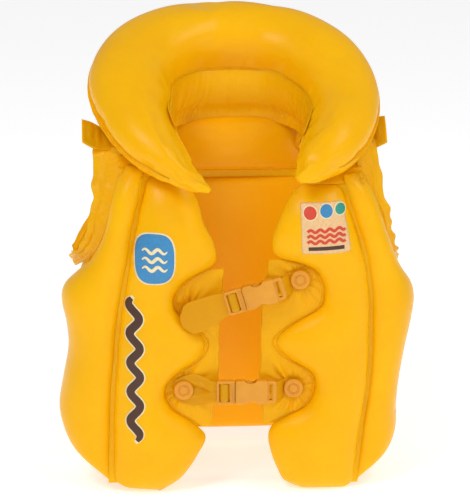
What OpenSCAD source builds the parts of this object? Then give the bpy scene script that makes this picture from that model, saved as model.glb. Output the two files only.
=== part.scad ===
// Child's inflatable swim vest: welded film air chambers round the torso, a
// horseshoe pillow collar, two quick-release buckles at the front and three
// push-in air valves at the back. Millimetres, +Z up, front faces -Y, the
// wearer's right side is on -X. The origin is under the middle of the vest.

/* [Film] */
// Thickness of a free film edge or web
film_t = 1.2; // [0.8:0.1:1.4]
// Width of the flange left outside the collar's edge weld
collar_flange_w = 4; // [2:0.5:5]
// Depth of the waves in the armhole ruffle
ruffle = 2.2; // [0:0.2:2.6]

/* [Chambers] */
// Fullness of the torso chambers, 1 = normal pressure
fullness = 1; // [0.8:0.05:1]
// Fullness of the collar, 1 = normal pressure
collar_fullness = 1; // [0.85:0.05:1]

/* [Buckles] */
// Outer width of a buckle
buckle_w = 22; // [20:0.5:24]
// Outer thickness of a buckle
buckle_t = 8; // [7.5:0.5:9]
// Tilt of the upper buckle, rising to +X
upper_tilt = 16; // [10:1:20]
// Distance that the buckle plugs pull out
plug_travel = 30; // [25:1:32]

/* [Valves] */
// Radius of a valve's round base
valve_r = 11; // [10:0.5:12]
// Outer radius of a valve's stem
stem_r = 4.5; // [4:0.25:5]
// Bore radius of a valve's stem
stem_bore = 3; // [2.5:0.25:3]

/* [Hidden] */
$fn = 32;
film = [0.97, 0.74, 0.05];
shade = [0.90, 0.62, 0.03];
strap_c = [0.86, 0.64, 0.06];
buckle_c = [0.93, 0.66, 0.18];

// From the middle of the chest opening to the middle of the whole vest's box
ORIGIN = [1.5, -10, 0];
module placed() { translate(ORIGIN) children(); }

// ---- small vector helpers ----
function unit(v) = v / norm(v);
function mix(a, b, s) = a * (1 - s) + b * s;
// Catmull-Rom through the rows of a table, m steps to each row
function cr(a, b, c, d, s) = 0.5 * ((2 * b) + (c - a) * s
  + (2 * a - 5 * b + 4 * c - d) * s * s + (3 * b - a - 3 * c + d) * s * s * s);
function smooth(t, m) = let (n = len(t)) concat(
  [for (i = [0:n - 2], j = [0:m - 1])
    cr(t[max(i - 1, 0)], t[i], t[i + 1], t[min(i + 2, n - 1)], j / m)],
  [t[n - 1]]);

// Closed solid through a list of rings with the same number of points. The
// faces are turned over when the rings run the other way round.
function total(v, i = 0) = i >= len(v) ? 0 : v[i] + total(v, i + 1);
module loft(rings) {
  n = len(rings[0]);
  m = len(rings);
  e = (m - 1) * n;
  pts = [for (r = rings) for (p = r) p];
  tris = concat([for (i = [0:m - 2], k = [0:n - 1]) let (a = i * n + k,
      b = i * n + (k + 1) % n, c = a + n, d = b + n)
    each [[a, b, d], [a, d, c]]],
    [for (k = [1:n - 2]) [0, k + 1, k]],
    [for (k = [1:n - 2]) [e, e + k, e + k + 1]]);
  vol = total([for (t = tris)
    pts[t[0]] * cross(pts[t[1]], pts[t[2]])]);
  polyhedron(points = pts,
    faces = vol < 0 ? tris : [for (t = tris) [t[2], t[1], t[0]]]);
}

// ---- torso chambers ----
// A row is [z at a, z at b, ax, ay, mx, my, bx, by, t]: the section's middle
// line bends from a past m to b, and the chamber is t thick to each side.
function bez(a, m, b, s) = a * (1 - s) * (1 - s) + m * 2 * s * (1 - s) + b * s * s;
function section(r, k = 8) = let (
    a = [r[2], r[3]], m = [r[4], r[5]], b = [r[6], r[7]],
    pt = function (s, side) let (
        q = bez(a, m, b, s), d = unit((m - a) * (1 - s) + (b - m) * s),
        h = side * r[8] * fullness * pow(max(sin(180 * s), 0), 0.75))
      [q.x + d.y * h, q.y - d.x * h, mix(r[0], r[1], s)])
  concat([for (i = [0:k]) pt(i / k, 1)], [for (i = [k - 1:-1:1]) pt(i / k, -1)]);
module chamber(rows, k = 8) { loft([for (r = rows) section(r, k)]); }
// A thin strip between two lists of points, t thick along the vector w
module strip(p, q, w) {
  loft([for (i = [0:len(p) - 1])
    [p[i] - w / 2, p[i] + w / 2, q[i] + w / 2, q[i] - w / 2]]);
}

FRONT_LEFT = [
  [0, 3, -74, -72, -84, -72, -98, -72, 3],
  [7, 9, -60, -72, -84, -73, -112, -72, 14],
  [17, 19, -49, -72, -82, -74, -115, -72, 20],
  [34, 34, -38, -72, -77, -75, -115, -72, 24],
  [52, 52, -30, -72, -72, -75, -115, -72, 25],
  [65, 65, -42, -72, -78, -75, -115, -72, 23],
  [80, 80, -62, -72, -88, -74, -114, -72, 19],
  [98, 98, -68, -72, -91, -74, -113, -72, 17],
  [112, 112, -57, -72, -84, -74, -112, -72, 19],
  [126, 126, -37, -72, -74, -75, -111, -72, 22],
  [141, 141, -31, -72, -70, -75, -110, -72, 23],
  [156, 156, -42, -72, -75, -75, -108, -72, 22],
  [172, 172, -58, -72, -82, -74, -106, -72, 19],
  [188, 188, -58, -72, -81, -74, -103, -72, 19],
  [202, 202, -44, -72, -73, -74, -101, -72, 21],
  [214, 214, -22, -72, -60, -75, -99, -72, 24],
  [232, 232, -22, -72, -59, -75, -96, -71, 25],
  [250, 250, -31, -71, -62, -74, -92, -70, 24],
  [268, 268, -36, -68, -63, -71, -88, -68, 21],
  [281, 281, -42, -65, -64, -67, -84, -64, 15],
  [290, 290, -48, -62, -65, -63, -82, -61, 7],
  [294, 294, -56, -60, -66, -60, -76, -60, 2]];
FRONT_RIGHT = [
  [0, 0, 60, -72, 72, -72, 95, -72, 3],
  [6, 6, 42, -72, 70, -73, 104, -72, 14],
  [16, 16, 35, -72, 68, -74, 105, -72, 20],
  [34, 34, 28, -72, 66, -75, 107, -72, 24],
  [52, 52, 25, -72, 67, -75, 109, -72, 25],
  [65, 65, 32, -72, 70, -75, 111, -72, 23],
  [80, 80, 60, -72, 85, -74, 113, -72, 19],
  [98, 98, 68, -72, 91, -74, 115, -72, 17],
  [112, 112, 64, -72, 89, -74, 116, -72, 19],
  [126, 126, 42, -72, 78, -75, 117, -72, 22],
  [141, 141, 32, -72, 74, -75, 117, -72, 23],
  [156, 156, 46, -72, 80, -75, 117, -72, 21],
  [172, 172, 72, -72, 94, -74, 117, -72, 18],
  [188, 188, 76, -72, 96, -74, 116, -72, 17],
  [203, 203, 71, -72, 92, -74, 114, -72, 18],
  [212, 212, 58, -72, 86, -74, 113, -72, 20],
  [220, 220, 32, -72, 71, -75, 111, -72, 23],
  [234, 234, 28, -72, 67, -75, 107, -71, 24],
  [250, 250, 33, -71, 66, -74, 102, -70, 22],
  [266, 266, 40, -68, 67, -71, 96, -68, 17],
  [278, 278, 48, -64, 69, -66, 92, -64, 10],
  [285, 285, 58, -61, 70, -61, 85, -61, 3]];
SIDE_LEFT = [
  [9, 50, -118, -72, -142, -62, -144, 2, 3],
  [19, 58, -118, -72, -145, -64, -144, 6, 14],
  [36, 70, -118, -72, -149, -66, -144, 10, 19],
  [60, 86, -117, -72, -152, -68, -144, 12, 21],
  [95, 106, -116, -72, -147, -68, -142, 12, 20],
  [125, 132, -113, -72, -143, -68, -140, 12, 18],
  [150, 154, -111, -72, -144, -68, -141, 12, 19],
  [172, 173, -108, -72, -148, -66, -143, 8, 21],
  [189, 186, -105, -72, -148, -64, -143, -2, 19],
  [206, 200, -102, -72, -135, -66, -136, -22, 16],
  [222, 215, -99, -72, -120, -68, -126, -40, 14],
  [245, 240, -96, -71, -108, -69, -117, -50, 13],
  [270, 268, -90, -69, -102, -67, -111, -50, 13],
  [286, 286, -87, -66, -98, -62, -107, -46, 11],
  [297, 297, -85, -61, -96, -57, -105, -42, 6],
  [302, 302, -86, -57, -95, -53, -102, -42, 2]];
SIDE_RIGHT = [
  [5, 42, 106, -72, 128, -62, 130, 2, 3],
  [15, 50, 107, -72, 133, -64, 132, 6, 13],
  [34, 64, 109, -72, 137, -66, 133, 10, 16],
  [60, 84, 112, -72, 136, -68, 132, 12, 16],
  [95, 106, 117, -72, 138, -68, 134, 12, 16],
  [125, 132, 119, -72, 143, -68, 137, 12, 17],
  [150, 154, 119, -72, 149, -68, 140, 12, 18],
  [172, 173, 119, -72, 151, -66, 142, 6, 19],
  [189, 186, 118, -72, 149, -64, 142, -4, 17],
  [206, 200, 116, -72, 137, -66, 138, -24, 15],
  [222, 215, 113, -72, 128, -68, 134, -38, 14],
  [245, 240, 106, -71, 119, -69, 128, -47, 13],
  [266, 264, 99, -69, 112, -67, 122, -48, 12],
  [279, 279, 95, -66, 107, -62, 117, -46, 10],
  [289, 289, 93, -62, 103, -58, 112, -44, 5],
  [293, 293, 94, -59, 102, -56, 108, -45, 2]];
// the back is the same on both sides, so the right is a mirror of the left
BACK_TUBE = [
  [0, 26, -74, 64, -126, 70, -134, 24, 3],
  [8, 36, -73, 65, -134, 72, -143, 18, 14],
  [26, 50, -72, 66, -136, 74, -143, 16, 17],
  [56, 74, -72, 66, -136, 74, -142, 16, 18],
  [95, 104, -72, 67, -134, 74, -140, 16, 18],
  [130, 134, -72, 68, -134, 74, -139, 16, 18],
  [158, 160, -72, 68, -134, 74, -139, 18, 17],
  [180, 178, -72, 68, -130, 74, -138, 24, 16],
  [200, 194, -72, 68, -122, 74, -132, 38, 15],
  [220, 214, -72, 68, -112, 73, -123, 50, 14],
  [245, 242, -72, 67, -100, 70, -116, 56, 13],
  [268, 266, -72, 65, -94, 67, -111, 57, 12],
  [286, 286, -72, 62, -90, 63, -107, 55, 8],
  [293, 293, -76, 60, -90, 60, -102, 56, 2]];
BACK_PANEL = [
  [12, 12, -64, 66, 0, 67, 64, 66, 3],
  [18, 18, -69, 67, 0, 68, 69, 67, 9],
  [32, 32, -70, 67, 0, 69, 70, 67, 13],
  [70, 70, -70, 68, 0, 70, 70, 68, 15],
  [120, 120, -70, 68, 0, 71, 70, 68, 16],
  [180, 180, -70, 68, 0, 71, 70, 68, 16],
  [230, 230, -70, 68, 0, 70, 70, 68, 14],
  [254, 254, -70, 67, 0, 68, 70, 67, 9],
  [262, 262, -68, 66, 0, 66, 68, 66, 3]];
BACK_YOKE = [
  [266, 266, -66, 66, 0, 66, 66, 66, 3],
  [273, 273, -69, 66, 0, 66, 69, 66, 12],
  [286, 286, -70, 66, 0, 66, 70, 66, 17],
  [300, 300, -68, 66, 0, 66, 68, 66, 17],
  [312, 312, -64, 66, 0, 66, 64, 66, 12],
  [320, 320, -58, 66, 0, 66, 60, 66, 3]];

module front_chamber_left() { placed() color(film) chamber(FRONT_LEFT); }
module front_chamber_right() { placed() color(film) chamber(FRONT_RIGHT); }
module side_tube_left() { placed() color(film) chamber(SIDE_LEFT); }
module side_tube_right() { placed() color(film) chamber(SIDE_RIGHT); }
module back_tube_l() { chamber(BACK_TUBE); }

// ---- collar: a horseshoe tube, rows are [x, y, z, radius] ----
COLLAR = [
  [-28, -99, 287, 2.5], [-39, -93, 293, 8], [-52, -85, 302, 13],
  [-65, -73, 312, 19], [-79, -56, 324, 25], [-89, -32, 338, 30],
  [-93, -5, 352, 35], [-91, 22, 366, 36], [-77, 48, 378, 36],
  [-51, 69, 386, 35], [-23, 80, 388, 34], [5, 83, 388, 34],
  [31, 81, 386, 33], [57, 70, 382, 33], [81, 48, 371, 33],
  [95, 22, 357, 31], [98, -5, 343, 29], [92, -32, 329, 28],
  [81, -56, 317, 25], [69, -73, 308, 19], [59, -85, 300, 12],
  [50, -92, 294, 4]];
RING_N = unit([0, -0.66, 0.75]);
function frame_at(c, i) = let (n = len(c),
    p = c[max(i - 1, 0)], q = c[min(i + 1, n - 1)],
    t = unit([q.x - p.x, q.y - p.y, q.z - p.z]),
    u = unit(cross(RING_N, t)), v = cross(t, u)) [u, v];
function collar_ring(c, i, k = 16) = let (f = frame_at(c, i),
    o = [c[i].x, c[i].y, c[i].z], r = c[i][3] * collar_fullness)
  [for (j = [0:k - 1]) let (a = 360 * j / k)
    o + f[0] * r * cos(a) + f[1] * r * 0.92 * sin(a)];
module collar_chamber() { placed() {
    c = smooth(COLLAR, 2);
    color(film) difference() {
      loft([for (i = [0:len(c) - 1]) collar_ring(c, i)]);
      valve_at(2) translate([0, 0, -11.8]) cylinder(r = valve_r - 1.7, h = 30);
    }
  }
}
module collar_weld_flange() { placed() {
    c = smooth(COLLAR, 2);
    color(shade) loft([for (i = [2:len(c) - 3]) let (f = frame_at(c, i),
        o = [c[i].x, c[i].y, c[i].z], r = c[i][3] + 0.4, w = r + collar_flange_w,
        d = f[0], h = f[1] * film_t / 2)
      [o + d * r - h, o + d * r + h, o + d * w + h, o + d * w - h]]);
  }
}

// ---- free films ----
// the neck film hangs from the collar's inner weld: rows are a point at the
// weld and the point below it, [x, y, z, x, y, z]
NECK = [[-54, -46, 331, -58, -42, 303], [-58, -26, 342, -60, -24, 306],
  [-56, -4, 351.5, -60, -4, 310], [-54, 15, 358, -59, 14, 312],
  [-46, 31, 361, -57, 36, 313], [-31, 46, 363.5, -46, 56, 318.5],
  [-15, 54, 363.5, -22, 63, 321.5], [5, 56, 363.5, 5, 64, 321.5],
  [22, 56, 362.5, 26, 63, 321.5], [36, 48, 361.5, 46, 57, 318.5],
  [51, 33, 356, 58, 36, 313], [62, 15, 349.5, 61, 14, 309],
  [66, -4, 342.5, 62, -4, 306], [62, -26, 333, 61, -24, 301],
  [56, -46, 323, 57, -40, 298]];
module neck_film() { placed() {
    r = smooth(NECK, 2);
    top = [for (q = r) [q[0], q[1], q[2]]];
    low = [for (q = r) [q[3], q[4], q[5]]];
    n = len(r);
    color(shade) loft([for (i = [0:n - 1]) let (
        g = film_t * unit(cross(top[i] - low[i],
          top[min(i + 1, n - 1)] - top[max(i - 1, 0)])))
      [top[i], top[i] + g, low[i] + g, low[i]]]);
  }
}
// points along one edge of a chamber's table: a is edge 2, b is edge 6
function edge(rows, e, dx, dy) = [for (r = rows)
  [r[e] + dx, r[e + 1] + dy, e == 2 ? r[0] : r[1]]];
module weld(pts, w, d) {
  loft([for (p = pts) [p - w - d, p - w + d, p + w + d, p + w - d]]);
}
module weld_seams() { placed() {
    color(shade) {
      // front seams between the inner chambers and the side tubes
      for (e = [edge(SIDE_LEFT, 2, 0.7, 0), edge(SIDE_RIGHT, 2, -0.7, 0)])
        weld([for (i = [0:13]) e[i]], [0.45, 0, 0], [0, 0.6, 0]);
      // side seams between the side tubes and the back tubes
      for (e = [edge(SIDE_LEFT, 6, 0, 2), edge(SIDE_RIGHT, 6, 0, 2)])
        weld([for (i = [2:6]) e[i]], [0.6, 0, 0], [0, 1.3, 0]);
      // back seams beside the middle panel
      for (s = [-1, 1]) translate([s * 71 - 0.7, 67, 34]) cube([1.4, 1.2, 216]);
      // seam between the back panel and the yoke
      translate([-60, 65.4, 262.5]) cube([120, 1.2, 3]);
    }
  }
}

RUFFLE = [
  [-107, -34, 306, -21, 12, 0], [-111, -46, 283, -19, 8, 0],
  [-114, -50, 267, -16, 6, 0], [-119, -49, 250, -14, 6, 2],
  [-124, -45, 233, -12, 6, 4], [-131, -37, 217, -10, 4, 6],
  [-140, -21, 206, -8, 2, 8], [-147, -2, 197, -4, 0, 9],
  [-146, 18, 194, -4, 0, 9], [-140, 36, 204, -8, 0, 7],
  [-131, 50, 220, -10, -2, 5], [-123, 58, 240, -12, -3, 2],
  [-117, 60, 262, -13, -3, 0], [-112, 58, 282, -14, -3, 0]];
module armhole_ruffle(s, dx) {
  r = smooth(RUFFLE, 4);
  n = len(r);
  at = [for (q = r) [s * q[0], q[1], q[2]]];
  rows = [for (i = [0:n - 1]) let (
      a = at[i] + [dx[min(floor(i / 4), len(dx) - 1)], 0, 0],
      w = [s * r[i][3], r[i][4], r[i][5]],
      g = unit(cross(at[min(i + 1, n - 1)] - at[max(i - 1, 0)], w)))
    [a, a + w + g * ruffle * sin(i * 75), g * film_t * 0.45]];
  loft([for (i = [0:n - 1]) let (q = rows[i])
    [q[0] - q[2], q[0] + q[2], q[1] + q[2], q[1] - q[2]]]);
}
module armhole_ruffle_left() { placed() color(shade) armhole_ruffle(1, [0]); }
module armhole_ruffle_right() { placed() {
    color(shade) armhole_ruffle(-1, [8, 9, 10, 11, 9, 6, 3, 0, 0, 0, 0, 0, 0, 0]);
  }
}

// shoulder films run over the shoulder under the collar: rows [y, z]
SHOULDER = [[-42, 303], [-28, 305], [-10, 309], [8, 313], [26, 315],
  [42, 309], [54, 298]];
SHOULDER_RIGHT = [[-40, 296.5], [-28, 299], [-10, 304], [8, 308], [26, 310],
  [42, 306], [54, 296]];
module shoulder_film(rows, x0, x1) {
  color(film) loft([for (p = rows)
    [[x1, p[0], p[1]], [x0, p[0], p[1]], [x0, p[0], p[1] + film_t],
     [x1, p[0], p[1] + film_t]]]);
}
module shoulder_film_left() { placed() shoulder_film(SHOULDER, -106, -64); }
module shoulder_film_right() { placed() shoulder_film(SHOULDER_RIGHT, 64, 110); }
// folded end of the film that stands out beside each shoulder: rows
// [x, y0, y1, z0, z1]
module shoulder_tab(rows) {
  color(shade) loft([for (r = rows)
    [[r[0], r[1], r[3]], [r[0], r[2], r[4]], [r[0], r[2], r[4] + 2.4],
     [r[0], r[1], r[3] + 2.4]]]);
}
module shoulder_tab_left() { placed() {
    shoulder_tab([[-139, -28, -4, 316, 331], [-130, -30, -4, 311, 328],
      [-120, -28, -4, 309, 322], [-107, -26, -4, 306.5, 311]]);
  }
}
module shoulder_tab_right() { placed() {
    shoulder_tab([[111, -22, 0, 300.5, 307], [120, -26, -4, 305, 314],
      [128, -28, -4, 308, 328], [136, -28, -6, 312, 331]]);
  }
}

// ---- front webs: rows [z, x at the chamber, x at the free edge] ----
WEB_LEFT = [[62, -39, -27], [72, -51, -25], [84, -64, -22], [98, -67, -20],
  [112, -56, -19], [126, -36, -19], [141, -30, -19], [156, -41, -19],
  [172, -57, -18], [188, -57, -16], [202, -43, -15], [209, -30, -15]];
WEB_RIGHT = [[64, 30, 22], [72, 45, 21], [84, 61, 20], [98, 67, 19],
  [112, 63, 18], [126, 41, 19], [141, 31, 19], [156, 45, 19],
  [172, 71, 20], [188, 75, 22], [203, 70, 24], [212, 57, 25],
  [217, 40, 25]];
module web(rows, y) {
  color(shade) strip([for (r = rows) [r[1], y, r[0]]],
    [for (r = rows) [r[2], y, r[0]]], [0, film_t, 0]);
}
module front_web_left() { placed() web(WEB_LEFT, -72.6); }
module front_web_right() { placed() web(WEB_RIGHT, -72.6); }

// ---- buckles: the plug comes from local -X, the mouth is at x = 0 ----
UPPER = [3, -86, 185];
LOWER = [-5, -86, 98];
module at_upper() { translate(UPPER) rotate([0, -upper_tilt, 0]) children(); }
module at_lower() { translate(LOWER) children(); }
// plates with their outline in X, Z and their thickness in Y
module plate(y0, y1) {
  translate([0, y1, 0]) rotate([90, 0, 0]) linear_extrude(y1 - y0) children();
}
module buckle_socket() {
  w = buckle_w / 2;
  color(buckle_c) difference() {
    union() {
      plate(-buckle_t / 2, buckle_t / 2) difference() {
        polygon([[0, -w + 1.5], [1.5, -w], [8, -w], [10, -w + 2.6],
          [17, -w + 2.6], [20, -w], [27, -w], [29, -w + 1], [29, w - 1],
          [27, w], [20, w], [17, w - 2.6], [10, w - 2.6], [8, w],
          [1.5, w], [0, w - 1.5]]);
      }
      // strap loop
      plate(-buckle_t / 2 + 1.5, buckle_t / 2 - 1.5) difference() {
        translate([28, -w + 1]) square([9, 2 * w - 2]);
        translate([30.5, -w + 3.2]) square([3.5, 2 * w - 6.4]);
      }
    }
    // the cavity for the plug, open at the mouth and at both sides
    translate([-1, -2.5, -8]) cube([24, 5, 16]);
    translate([9, -2.5, -w - 1]) cube([10, 5, 2 * w + 2]);
  }
}
module buckle_plug() {
  w = buckle_w / 2;
  color(buckle_c) {
    plate(-buckle_t / 2 + 1, buckle_t / 2 - 1) difference() {
      translate([-17, -w]) square([16.7, 2 * w]);
      translate([-14.6, -w + 2.4]) square([3.6, 2 * w - 4.8]);
      translate([-8.6, -w + 2.4]) square([3.6, 2 * w - 4.8]);
    }
    // guide tongue
    plate(-1.8, 1.8) translate([-0.6, -2.2]) square([20, 4.4]);
  }
}
// side arm with its latch head, which shows in the socket's side opening
module latch_arm(s) {
  w = buckle_w / 2;
  color(buckle_c) plate(-1.8, 1.8) scale([1, s]) polygon([[0.1, 4.4],
    [0.1, 7], [9, 7.3], [10, w - 1.2], [11.5, w - 0.6], [15, w - 2],
    [20, 5.2], [20, 3.6], [13, 5.6], [6, 4.6]]);
}
module upper_buckle_socket() { placed() at_upper() buckle_socket(); }
module upper_buckle_plug() { placed() at_upper() buckle_plug(); }
module upper_latch_arm_top() { placed() at_upper() latch_arm(1); }
module upper_latch_arm_bottom() { placed() at_upper() latch_arm(-1); }
module lower_buckle_socket() { placed() at_lower() buckle_socket(); }
module lower_buckle_plug() { placed() at_lower() buckle_plug(); }
module lower_latch_arm_top() { placed() at_lower() latch_arm(1); }
module lower_latch_arm_bottom() { placed() at_lower() latch_arm(-1); }

// ---- straps: flat webbing from a rivet on the web to a buckle's bar ----
// rows [x, y, half width, height of the middle line]
module strap(rows) {
  color(strap_c) loft([for (r = rows)
    [[r[0], r[1] - 0.7, r[3] - r[2]], [r[0], r[1] + 0.7, r[3] - r[2]],
     [r[0], r[1] + 0.7, r[3] + r[2]], [r[0], r[1] - 0.7, r[3] + r[2]]]]);
}
module upper_strap_tab() { placed() {
    at_upper() strap([[-60, 1.4, 7, -5], [-57, 1.2, 11.5, -4.6],
      [-50, 0.8, 14.6, -4], [-38, 0.4, 14.4, -3], [-27, 0.2, 12.8, -1.4],
      [-17.3, 0, 10.4, 0]]);
  }
}
module lower_strap_left() { placed() {
    at_lower() strap([[-54, 9.4, 8, 0], [-48, 9.4, 12, 0], [-37, 9.4, 15, 0],
      [-30, 6.4, 13.6, 0], [-22, 1.2, 10.6, 0], [-17.3, 0, 10, 0]]);
  }
}
SHORT_STRAP = [[37.4, 0, 9, 0], [40, 2.6, 9, 0], [43, 7.6, 8.8, 0],
  [44.4, 9.4, 9, 0], [58, 9.4, 7, 0]];
module upper_strap_right() { placed() at_upper() strap(SHORT_STRAP); }
module lower_strap_right() { placed() at_lower() strap(SHORT_STRAP); }
// rivets hold each strap's end to its web: [x, y of the strap's face, z]
RIVETS = [[-51, -77.6, 98], [48, -77.6, 98], [53.5, -77.6, 199.5]];
module strap_rivet_caps() { placed() {
    color(buckle_c) {
      for (p = RIVETS) translate(p) rotate([90, 0, 0]) difference() {
        cylinder(r = 8.2, h = 2.4);
        translate([0, 0, 1.4]) cylinder(r = 5, h = 2);
      }
      translate([-46, -73.6, 171]) rotate([90, 0, 0]) cylinder(r = 7, h = 5);
    }
  }
}
module strap_rivet_backs() { placed() {
    color(buckle_c) for (p = concat(RIVETS, [[-46, -77.9, 171]]))
      translate([p.x, -71.6, p.z]) rotate([-90, 0, 0]) cylinder(r = 7, h = 2);
  }
}

// ---- valves: the stem is pushed into a cup sunk in the film ----
// each [x, y, z, tilt about X]; the axis points out of the vest
VALVES = [[-42, 86, 224, 0], [42, 86, 224, 0], [5, 118.2, 382, 10]];
module valve_at(i) {
  translate([VALVES[i].x, VALVES[i].y, VALVES[i].z])
    rotate([-90 + VALVES[i][3], 0, 0]) children();
}
module valve_base() {
  color(film) difference() {
    union() {
      cylinder(r = valve_r, h = 1.4);
      translate([0, 0, -11.4]) cylinder(r = valve_r - 2, h = 11.6);
    }
    translate([0, 0, -10]) cylinder(r = valve_r - 3.2, h = 12);
    translate([0, 0, -12]) cylinder(r = stem_r + 0.05, h = 5);
  }
}
module valve_stem() {
  color(film) translate([0, 0, -11.2]) difference() {
    union() {
      cylinder(r = stem_r, h = 11);
      translate([0, 0, 9]) cylinder(r = stem_r + 1.4, h = 2);
    }
    translate([0, 0, -1]) cylinder(r = stem_bore, h = 13);
  }
}
module valve_plug() {
  color(film) translate([0, 0, -5.2]) {
    cylinder(r = stem_bore - 0.05, h = 5.2);
    translate([0, 0, 5.2]) cylinder(r = stem_r + 1, h = 1.6);
  }
}
module collar_valve_base() { placed() valve_at(2) valve_base(); }
module collar_valve_stem() { placed() valve_at(2) valve_stem(); }
module collar_valve_plug() { placed() valve_at(2) valve_plug(); }
module left_valve_base() { placed() valve_at(0) valve_base(); }
module left_valve_stem() { placed() valve_at(0) valve_stem(); }
module left_valve_plug() { placed() valve_at(0) valve_plug(); }
module right_valve_base() { placed() valve_at(1) valve_base(); }
module right_valve_stem() { placed() valve_at(1) valve_stem(); }
module right_valve_plug() { placed() valve_at(1) valve_plug(); }

module back_tube_left() { placed() color(film) back_tube_l(); }
module back_tube_right() { placed() color(film) mirror([1, 0, 0]) back_tube_l(); }
module back_panel_chamber() { placed() {
    color(film) difference() {
      chamber(BACK_PANEL, 10);
      for (i = [0, 1]) valve_at(i) translate([0, 0, -11.8])
        cylinder(r = valve_r - 1.7, h = 30);
    }
  }
}
module back_yoke_chamber() { placed() color(film) chamber(BACK_YOKE); }

collar_chamber();
collar_weld_flange();
front_chamber_left();
front_chamber_right();
side_tube_left();
side_tube_right();
back_tube_left();
back_tube_right();
back_panel_chamber();
back_yoke_chamber();
neck_film();
weld_seams();
armhole_ruffle_left();
armhole_ruffle_right();
shoulder_film_left();
shoulder_film_right();
shoulder_tab_left();
shoulder_tab_right();
front_web_left();
front_web_right();
upper_strap_tab();
lower_strap_left();
upper_strap_right();
lower_strap_right();
strap_rivet_caps();
strap_rivet_backs();
upper_buckle_socket();
upper_buckle_plug();
upper_latch_arm_top();
upper_latch_arm_bottom();
lower_buckle_socket();
lower_buckle_plug();
lower_latch_arm_top();
lower_latch_arm_bottom();
collar_valve_base();
collar_valve_stem();
collar_valve_plug();
left_valve_base();
left_valve_stem();
left_valve_plug();
right_valve_base();
right_valve_stem();
right_valve_plug();
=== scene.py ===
import bpy, bmesh, math
import numpy as np
from mathutils import Vector, Matrix
from mathutils.bvhtree import BVHTree


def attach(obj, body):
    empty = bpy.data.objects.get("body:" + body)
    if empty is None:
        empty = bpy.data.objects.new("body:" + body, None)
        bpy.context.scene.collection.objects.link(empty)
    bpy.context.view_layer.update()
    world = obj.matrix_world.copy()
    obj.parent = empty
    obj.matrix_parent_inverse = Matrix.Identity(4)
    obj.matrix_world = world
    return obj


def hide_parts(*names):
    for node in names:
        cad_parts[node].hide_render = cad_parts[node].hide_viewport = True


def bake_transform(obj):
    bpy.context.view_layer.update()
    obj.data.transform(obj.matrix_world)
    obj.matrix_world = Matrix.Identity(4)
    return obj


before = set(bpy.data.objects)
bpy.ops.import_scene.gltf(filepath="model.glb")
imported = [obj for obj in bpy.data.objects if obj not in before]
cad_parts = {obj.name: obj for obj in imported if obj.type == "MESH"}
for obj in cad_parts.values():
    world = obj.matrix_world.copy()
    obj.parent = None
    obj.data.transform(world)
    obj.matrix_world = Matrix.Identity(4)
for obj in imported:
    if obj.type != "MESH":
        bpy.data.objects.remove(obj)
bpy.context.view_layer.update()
sc = bpy.context.scene
RNG = np.random.RandomState(7)
ORG = np.array([1.5, -10.0, 0.0])      # the vest's own middle in the shared frame, mm


def M(p):
    """vest millimetres to the frame's metres"""
    return (np.asarray(p, float) + ORG) / 1000.0


# ------------------------------------------------------------------ camera
AIM = Vector((0.0015, -0.010, 0.207))
az, el, dist = math.radians(-3.5), math.radians(15.0), 2.4
back = Vector((math.sin(az) * math.cos(el), -math.cos(az) * math.cos(el), math.sin(el)))
cam_d = bpy.data.cameras.new("view")
cam_d.sensor_fit = "VERTICAL"
cam_d.sensor_height = 36.0
cam_d.lens = 36.0 * (dist / 0.00092) / 500.0
cam_d.clip_end = 50
cam = bpy.data.objects.new("view", cam_d)
sc.collection.objects.link(cam)
cam.location = AIM + back * dist
cam.rotation_euler = (-back).to_track_quat("-Z", "Y").to_euler()
sc.camera = cam
sc.view_settings.view_transform = "Standard"
sc.view_settings.look = "None"


# --------------------------------------------------------------- materials
def nodes_of(name):
    m = bpy.data.materials.new(name)
    m.use_nodes = True
    nt = m.node_tree
    return m, nt, nt.nodes["Principled BSDF"]


def link(nt, a, b):
    nt.links.new(a, b)


def noise(nt, scale, detail=3.0, rough=0.5, vec=None, distort=0.0):
    n = nt.nodes.new("ShaderNodeTexNoise")
    n.inputs["Scale"].default_value = scale
    n.inputs["Detail"].default_value = detail
    n.inputs["Roughness"].default_value = rough
    n.inputs["Distortion"].default_value = distort
    if vec is not None:
        link(nt, vec, n.inputs["Vector"])
    return n


def ramp(nt, fac, stops):
    r = nt.nodes.new("ShaderNodeValToRGB")
    e = r.color_ramp.elements
    while len(e) < len(stops):
        e.new(0.5)
    for k, (p, c) in enumerate(stops):
        e[k].position = p
        e[k].color = (*c, 1) if len(c) == 3 else c
    link(nt, fac, r.inputs[0])
    return r


def mathn(nt, op, a, b=None, clamp=False):
    n = nt.nodes.new("ShaderNodeMath")
    n.operation = op
    n.use_clamp = clamp
    for k, v in enumerate((a, b)):
        if v is None:
            continue
        if isinstance(v, (int, float)):
            n.inputs[k].default_value = v
        else:
            link(nt, v, n.inputs[k])
    return n.outputs[0]


def bump(nt, height, strength, distance, normal=None):
    b = nt.nodes.new("ShaderNodeBump")
    b.inputs["Strength"].default_value = strength
    b.inputs["Distance"].default_value = distance
    link(nt, height, b.inputs["Height"])
    if normal is not None:
        link(nt, normal, b.inputs["Normal"])
    return b.outputs[0]


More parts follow.
